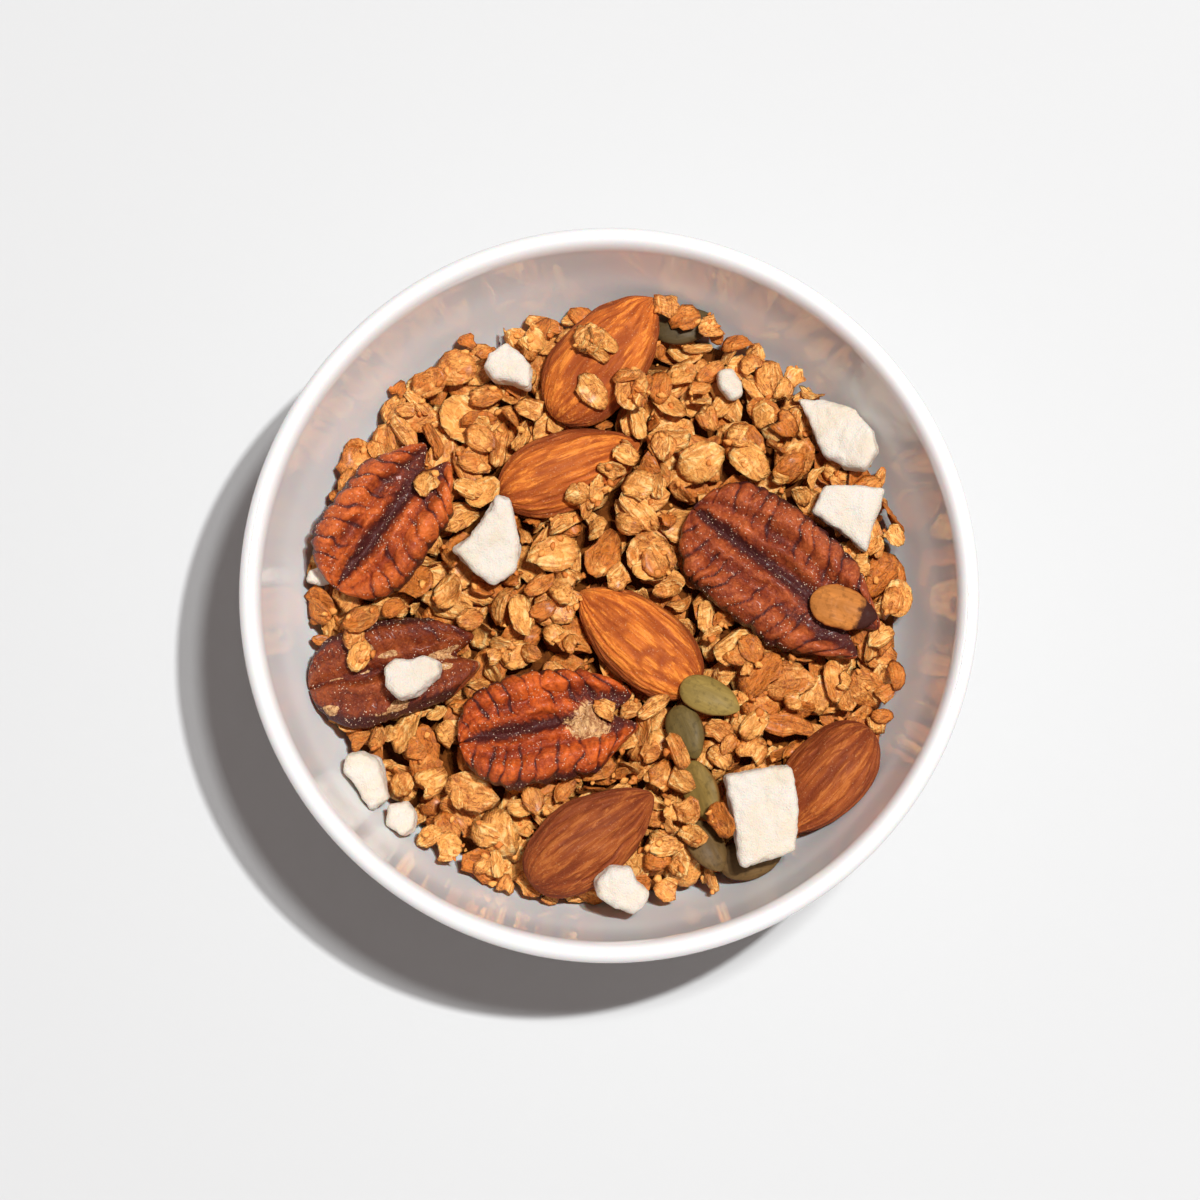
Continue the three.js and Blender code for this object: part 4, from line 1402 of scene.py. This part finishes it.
# Flakes that lie on the nuts: across and away in millimetres, length and how they are built.
ON_NUTS = (
    (-1.6, 42.4, 6.6, clump), (-2.6, 35.0, 7.0, single), (3.6, 34.5, 7.6, clump), (1.6, 24.6, 7.4, clump),
    (-2.4, 17.6, 7.8, clump), (4.6, 19.6, 7.0, single), (-28.8, 18.9, 7.4, single),
    (-41.6, -6.8, 6.4, single), (-40.6, -10.2, 5.6, single), (-39.6, -2.6, 7.2, single),
    (-0.2, -18.0, 5.8, single), (44.6, -6.2, 5.0, single), (12.2, -29.0, 6.6, single),
    (12.4, -25.0, 6.4, single), (19.0, -36.6, 6.6, single),
    (13.0, 48.6, 7.2, single), (17.0, 46.8, 7.4, single), (9.6, 50.0, 6.4, single),
    (7.6, -17.2, 6.6, single), (14.6, -34.4, 7.0, single), (13.6, -38.0, 6.6, single),
)


def lay_one(bed, random, layer, build, base, tilt, tries, over, where, on_nuts):
    """Tries some places for one flake or group and lays it in the lowest of them.

    It is built with its flakes about base long, and nothing of it may stand more than over above
    the heap's surface.
    """
    best = None
    ground = bed.top() if on_nuts else bed.ground

    def pick():
        return int(random.integers(0, len(layer.samples)))

    for _ in range(tries):
        spot = where()
        lying = upright(bed.lean(ground, spot, base * 0.42))
        tip = turned(random.uniform(0, math.tau), "Z") @ turned(math.radians(random.uniform(*tilt)), "X")
        turn = lying @ tip @ turned(random.uniform(0, math.tau), "Z")
        parts = [(s, turn @ own, turn @ at, size) for s, own, at, size in build(random, base, pick)]
        points = np.concatenate([(layer.samples[s] * size) @ own.T + at for s, own, at, size in parts])
        rise = bed.settle(points, spot, 1.0 if on_nuts else ON_NUT_SHARE)
        if rise is None:
            continue
        above = points[:, 2].max() + rise - bed.surface[bed.columns(spot[None])][0]
        if above > over:
            continue
        score = points[:, 2].mean() + rise + above / 4
        if best is None or score < best[0]:
            best = (score, points, spot, rise, parts)
    if best is None:
        return
    _, points, spot, rise, parts = best
    bed.add(points, spot, rise)
    toast = random.random()
    for shape, turn, offset, size in parts:
        tint = float(np.clip(toast + random.normal() * 0.12, 0, 1))
        layer.add(shape, np.array([*spot, rise]) + offset, turn, size, tint)


def lay_flakes(bed, random, settings, layer):
    """Lays clumps, stacks and single flakes on the bed, and last those that lie on the nuts."""
    longest = settings.size / MM
    counts = {clump: settings.clumps, stack: settings.stacks, single: settings.flakes}

    def anywhere():
        return spot_in_bowl(random, BED_REACH)

    def by_the_wall():
        angle, out = random.uniform(0, math.tau), random.uniform(BY_WALL, BED_EDGE)
        return out * np.array([math.cos(angle), math.sin(angle)])

    for build, share, (low, high), tilt, tries, over, at_wall in JOBS:
        for _ in range(int(counts[build] * share)):
            base = longest * random.uniform(low, high)
            where = by_the_wall if at_wall else anywhere
            lay_one(bed, random, layer, build, base, tilt, tries, over, where, False)
    for across, away, base, build in ON_NUTS:
        def near():
            return np.array([across, away]) + random.normal(size=2) * 0.5
        lay_one(bed, random, layer, build, base, (0, 12), 6, 13.0, near, True)


def hidden_shapes(name, meshes):
    """A collection of shapes that is not in the scene, for a node group to pick from."""
    collection = bpy.data.collections.new(name)
    for k, (points, faces, flat) in enumerate(meshes):
        made = make_object(f"{name}_{k:02d}", points / MM, faces, None, {"flake": flat})
        bpy.context.scene.collection.objects.unlink(made)
        collection.objects.link(made)
    return collection


def clear_away(collection):
    """Removes a collection of shapes and what is in it."""
    for shape in list(collection.objects):
        bpy.data.objects.remove(shape)
    bpy.data.collections.remove(collection)


def make_core(bed, settings):
    """The dark core under the loose flakes, down to the bowl's floor; its darkness is painted shade."""
    around, steps = 96, 40
    angle = np.arange(around) / around * math.tau
    circle = np.stack([np.cos(angle), np.sin(angle)], 1)
    edge = float(np.median(bed.core[bed.columns(BED_EDGE * circle)]))
    limit = inner_radius(edge, bed.bowl) - CORE_WALL_AIR
    rings = []
    for share in (np.arange(1, steps + 1) / steps) ** 0.9:
        flat = limit * share * circle
        z = bed.core[bed.columns(flat)] * (1 - share ** 8) + edge * share ** 8
        rings.append(np.column_stack([flat, z]))
    floor = bed.bowl.floor / MM + 0.6
    for height in np.linspace(edge, floor, 20)[1:]:
        radius = max(inner_radius(height, bed.bowl) - CORE_WALL_AIR, 2.0)
        rings.append(np.column_stack([radius * circle, np.full(around, height)]))
    points, faces = closed_rings(rings[::-1])
    made = make_object("oat_core", points, faces, core_finish(settings))
    return finish_piece(made, "oats", "granola_heap")


CRUMPLE = 0.17  # greatest push that bends the flakes
CRUMPLE_SIZE = 2.0
CRUMB_SIZES = (0.25, 0.85)


def crumple(mesh):
    """Bends every flake of a mesh in its own way, by a soft random push at each point."""
    points, _ = corners_of(mesh)
    push = np.stack([noise(points, CRUMPLE_SIZE, 70 + axis) for axis in range(3)], 1)
    move_points(mesh, points + CRUMPLE * push)
    mesh.shade_smooth()


def crumb_mesh(random):
    """A rough crumb about two units across."""
    corners = OCTAHEDRON[0] / np.linalg.norm(OCTAHEDRON[0], axis=1, keepdims=True)
    middles = {}
    points, faces = list(corners), []
    for face in OCTAHEDRON[1]:
        between = []
        for a, b in zip(face, (*face[1:], face[0])):
            key = (min(a, b), max(a, b))
            if key not in middles:
                middles[key] = len(points)
                middle = corners[a] + corners[b]
                points.append(middle / np.linalg.norm(middle))
            between.append(middles[key])
        a, b, c = face
        ab, bc, ca = between
        faces += [(a, ab, ca), (b, bc, ab), (c, ca, bc), (ab, bc, ca)]
    points = np.array(points)
    lumpy = 1 + 0.2 * random.normal(size=(len(points), 1))
    return points * lumpy * (1, random.uniform(0.6, 1), random.uniform(0.4, 0.8)), faces, points


def make_crumbs(bed, random, settings):
    """Loose crumbs on the flakes."""
    shapes = [crumb_mesh(random) for _ in range(6)]
    layer = Layer([points for points, _, _ in shapes])
    top = bed.top()
    for _ in range(settings.crumbs):
        spot = spot_in_bowl(random, BED_EDGE)
        at = bed.columns(spot[None])
        size = random.uniform(*CRUMB_SIZES) * np.ones(3)
        z = top[at][0] + 0.15 * size[2]
        on_nut = bed.high[at][0] > bed.ground[at][0]
        out = np.hypot(*spot)
        if on_nut or out > inner_radius(z, bed.bowl) - WALL_AIR - size[0]:
            continue
        turn = turned(random.uniform(0, math.tau), "Z") @ turned(random.uniform(0, math.tau), "X")
        layer.add(int(random.integers(0, len(shapes))), np.array([*spot, z]), turn, size, random.random())
    collection = hidden_shapes("crumb", shapes)
    source = layer.points("crumb_places", layer.rows)
    material = crumb_finish(settings)
    values = {"Shapes": collection, "Size": MM, "Material": material}
    made = run_tree("oat_crumbs", source, setting_tree("lay_crumbs"), values, material)
    bpy.data.objects.remove(source)
    clear_away(collection)
    made.data.shade_smooth()
    finish_piece(made, "oats", "granola_heap")


# How the flakes are sorted: the piece, how much darker it is, and up to which share of them it has.
OAT_TONES = (("pale_oats", -0.32, 0.25), ("golden_oats", 0.0, 0.72), ("toasted_oats", 0.42, 1.0))


def make_oats(bowl, settings):
    """The loose oats: laid one by one, then set as real flakes, sorted by how much they are toasted."""
    random = np.random.default_rng(settings.seed)
    bed = Bed(bowl, settings.depth / MM)
    make_core(bed, settings)
    shapes = [flake_mesh(random, kind) for kind in FLAKE_KINDS]
    samples = [samples_of(points, faces) for points, faces, _ in shapes]
    layer = Layer(samples)
    lay_flakes(bed, random, settings, layer)
    collection = hidden_shapes("flake", shapes)
    group = setting_tree("lay_flakes")
    order = random.permutation(len(layer.rows))
    start = 0
    for name, tone, share in OAT_TONES:
        end = int(len(order) * share)
        material = oat_finish(name.replace("oats", "oat"), settings, tone)
        source = layer.points(f"{name}_places", [layer.rows[k] for k in order[start:end]])
        values = {"Shapes": collection, "Size": MM, "Material": material}
        made = run_tree(name, source, group, values, material)
        bpy.data.objects.remove(source)
        crumple(made.data)
        finish_piece(made, "oats", "granola_heap")
        start = end
    clear_away(collection)
    make_crumbs(bed, random, settings)


# ---- Operators ----
class BowlOperator(bpy.types.Operator):
    """Turns the porcelain bowl"""

    bl_idname = "granola.bowl"
    bl_label = "Porcelain bowl"

    def execute(self, context):
        make_bowl(context.scene.granola_bowl)
        return {"FINISHED"}


class AlmondOperator(bpy.types.Operator):
    """Makes the whole almonds"""

    bl_idname = "granola.almonds"
    bl_label = "Almonds"

    def execute(self, context):
        make_almonds(context.scene.granola_nuts)
        return {"FINISHED"}


class PecanOperator(bpy.types.Operator):
    """Makes the pecan halves"""

    bl_idname = "granola.pecans"
    bl_label = "Pecan halves"

    def execute(self, context):
        make_pecans(context.scene.granola_nuts)
        return {"FINISHED"}


class SeedOperator(bpy.types.Operator):
    """Makes the pumpkin seeds"""

    bl_idname = "granola.seeds"
    bl_label = "Pumpkin seeds"

    def execute(self, context):
        make_seeds(context.scene.granola_nuts)
        return {"FINISHED"}


class FruitOperator(bpy.types.Operator):
    """Makes the freeze-dried fruit"""

    bl_idname = "granola.fruit"
    bl_label = "Freeze-dried fruit"

    def execute(self, context):
        make_fruit(context.scene.granola_nuts)
        return {"FINISHED"}


class OatOperator(bpy.types.Operator):
    """Lays the oat flakes over their core"""

    bl_idname = "granola.oats"
    bl_label = "Oat flakes"

    def execute(self, context):
        make_oats(context.scene.granola_bowl, context.scene.granola_oats)
        return {"FINISHED"}


# ---- The stage ----
PHOTO_SIDE = 1200  # pixels along each side of the photograph
FOCAL_PIXELS = 5252
RIM_PIXEL = (609.2, 591.4)  # middle of the rim in the photograph
SENSOR = 36.0  # width of the camera's sensor
FLOOR_REACH = 2000.0
LIGHT_HEIGHT = 1900.0
KEY_SLANT = (0.2334, 0.0952)  # how far each light leans from upright, to the right and away
SECOND_SLANT = (0.162, 0.093)
KEY_SIZE, SECOND_SIZE = 46, 110


def add_light(name, slant, power, size, shade):
    """A round light over the bowl that looks at its rim."""
    light = bpy.data.lights.new(name, "AREA")
    light.shape = "DISK"
    light.size = size * MM
    light.energy = power
    light.color = shade
    lamp = in_scene(name, light)
    span = LIGHT_HEIGHT - BOWL_HEIGHT
    lamp.location = Vector((slant[0] * span, slant[1] * span, LIGHT_HEIGHT)) * MM
    aim = Vector((0, 0, BOWL_HEIGHT * MM)) - lamp.location
    lamp.rotation_euler = aim.to_track_quat("-Z", "Y").to_euler()


def add_camera(settings):
    """A camera where the photograph was taken from."""
    tilt, distance = settings.elevation, settings.distance
    back = Vector((0, -math.cos(tilt), math.sin(tilt)))
    up = Vector((0, math.sin(tilt), math.cos(tilt)))
    per_pixel = distance / FOCAL_PIXELS
    aside = (RIM_PIXEL[0] - PHOTO_SIDE / 2) * per_pixel
    above = (PHOTO_SIDE / 2 - RIM_PIXEL[1]) * per_pixel
    camera = in_scene("camera", bpy.data.cameras.new("camera"))
    camera.data.sensor_width = SENSOR
    camera.data.lens = SENSOR * FOCAL_PIXELS / PHOTO_SIDE
    camera.data.clip_start, camera.data.clip_end = 0.01, 20
    camera.location = (
        Vector((0, 0, BOWL_HEIGHT * MM)) + back * distance - Vector((aside, 0, 0)) - up * above
    )
    camera.rotation_euler = back.to_track_quat("Z", "Y").to_euler()
    bpy.context.scene.camera = camera


def make_stage(settings):
    """A pale floor, the lights and the camera."""
    half = FLOOR_REACH
    floor = make_object(
        "floor", [(-half, -half, 0), (half, -half, 0), (half, half, 0), (-half, half, 0)], [(0, 1, 2, 3)],
        floor_finish(settings), shaded_smooth=False,
    )
    floor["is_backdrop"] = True
    add_light("key_light", KEY_SLANT, settings.key, KEY_SIZE, settings.lamp)
    add_light("second_light", SECOND_SLANT, settings.second, SECOND_SIZE, settings.lamp)
    world = bpy.data.worlds.new("room")
    bpy.context.scene.world = world
    world.use_nodes = True
    world.node_tree.nodes["Background"].inputs["Color"].default_value = (*settings.room, 1)
    world.node_tree.nodes["Background"].inputs["Strength"].default_value = settings.fill
    bpy.context.scene.view_settings.view_transform = "Standard"
    add_camera(settings)


class StageOperator(bpy.types.Operator):
    """Sets the floor, the lights and the camera"""

    bl_idname = "granola.stage"
    bl_label = "Stage"

    def execute(self, context):
        make_stage(context.scene.granola_stage)
        return {"FINISHED"}


class GranolaPanel(bpy.types.Panel):
    """Lists the pieces of the granola bowl"""

    bl_idname = "VIEW3D_PT_granola"
    bl_label = "Granola bowl"
    bl_space_type = "VIEW_3D"
    bl_region_type = "UI"
    bl_category = "Granola"

    def draw(self, context):
        for operator, _ in STEPS:
            self.layout.operator(operator.bl_idname)
        for name in SETTINGS:
            box = self.layout.box()
            for prop in getattr(context.scene, name).bl_rna.properties:
                if prop.identifier not in {"rna_type", "name"}:
                    box.prop(getattr(context.scene, name), prop.identifier)


STEPS = (
    (BowlOperator, "bowl"),
    (AlmondOperator, "almonds"),
    (PecanOperator, "pecans"),
    (SeedOperator, "seeds"),
    (FruitOperator, "fruit"),
    (OatOperator, "oats"),
    (StageOperator, "stage"),
)
SETTINGS = {
    "granola_bowl": BowlSettings,
    "granola_oats": OatSettings,
    "granola_nuts": NutSettings,
    "granola_stage": StageSettings,
}


def register():
    """Adds the classes and the settings."""
    for name, group in SETTINGS.items():
        bpy.utils.register_class(group)
        setattr(bpy.types.Scene, name, PointerProperty(type=group))
    for operator, _ in STEPS:
        bpy.utils.register_class(operator)
    bpy.utils.register_class(GranolaPanel)


def unregister():
    """Takes the classes and the settings away again."""
    bpy.utils.unregister_class(GranolaPanel)
    for operator, _ in reversed(STEPS):
        bpy.utils.unregister_class(operator)
    for name, group in SETTINGS.items():
        delattr(bpy.types.Scene, name)
        bpy.utils.unregister_class(group)


def main():
    """Makes every piece in order."""
    register()
    for _, step in STEPS:
        getattr(bpy.ops.granola, step)()


if __name__ == "__main__":
    main()
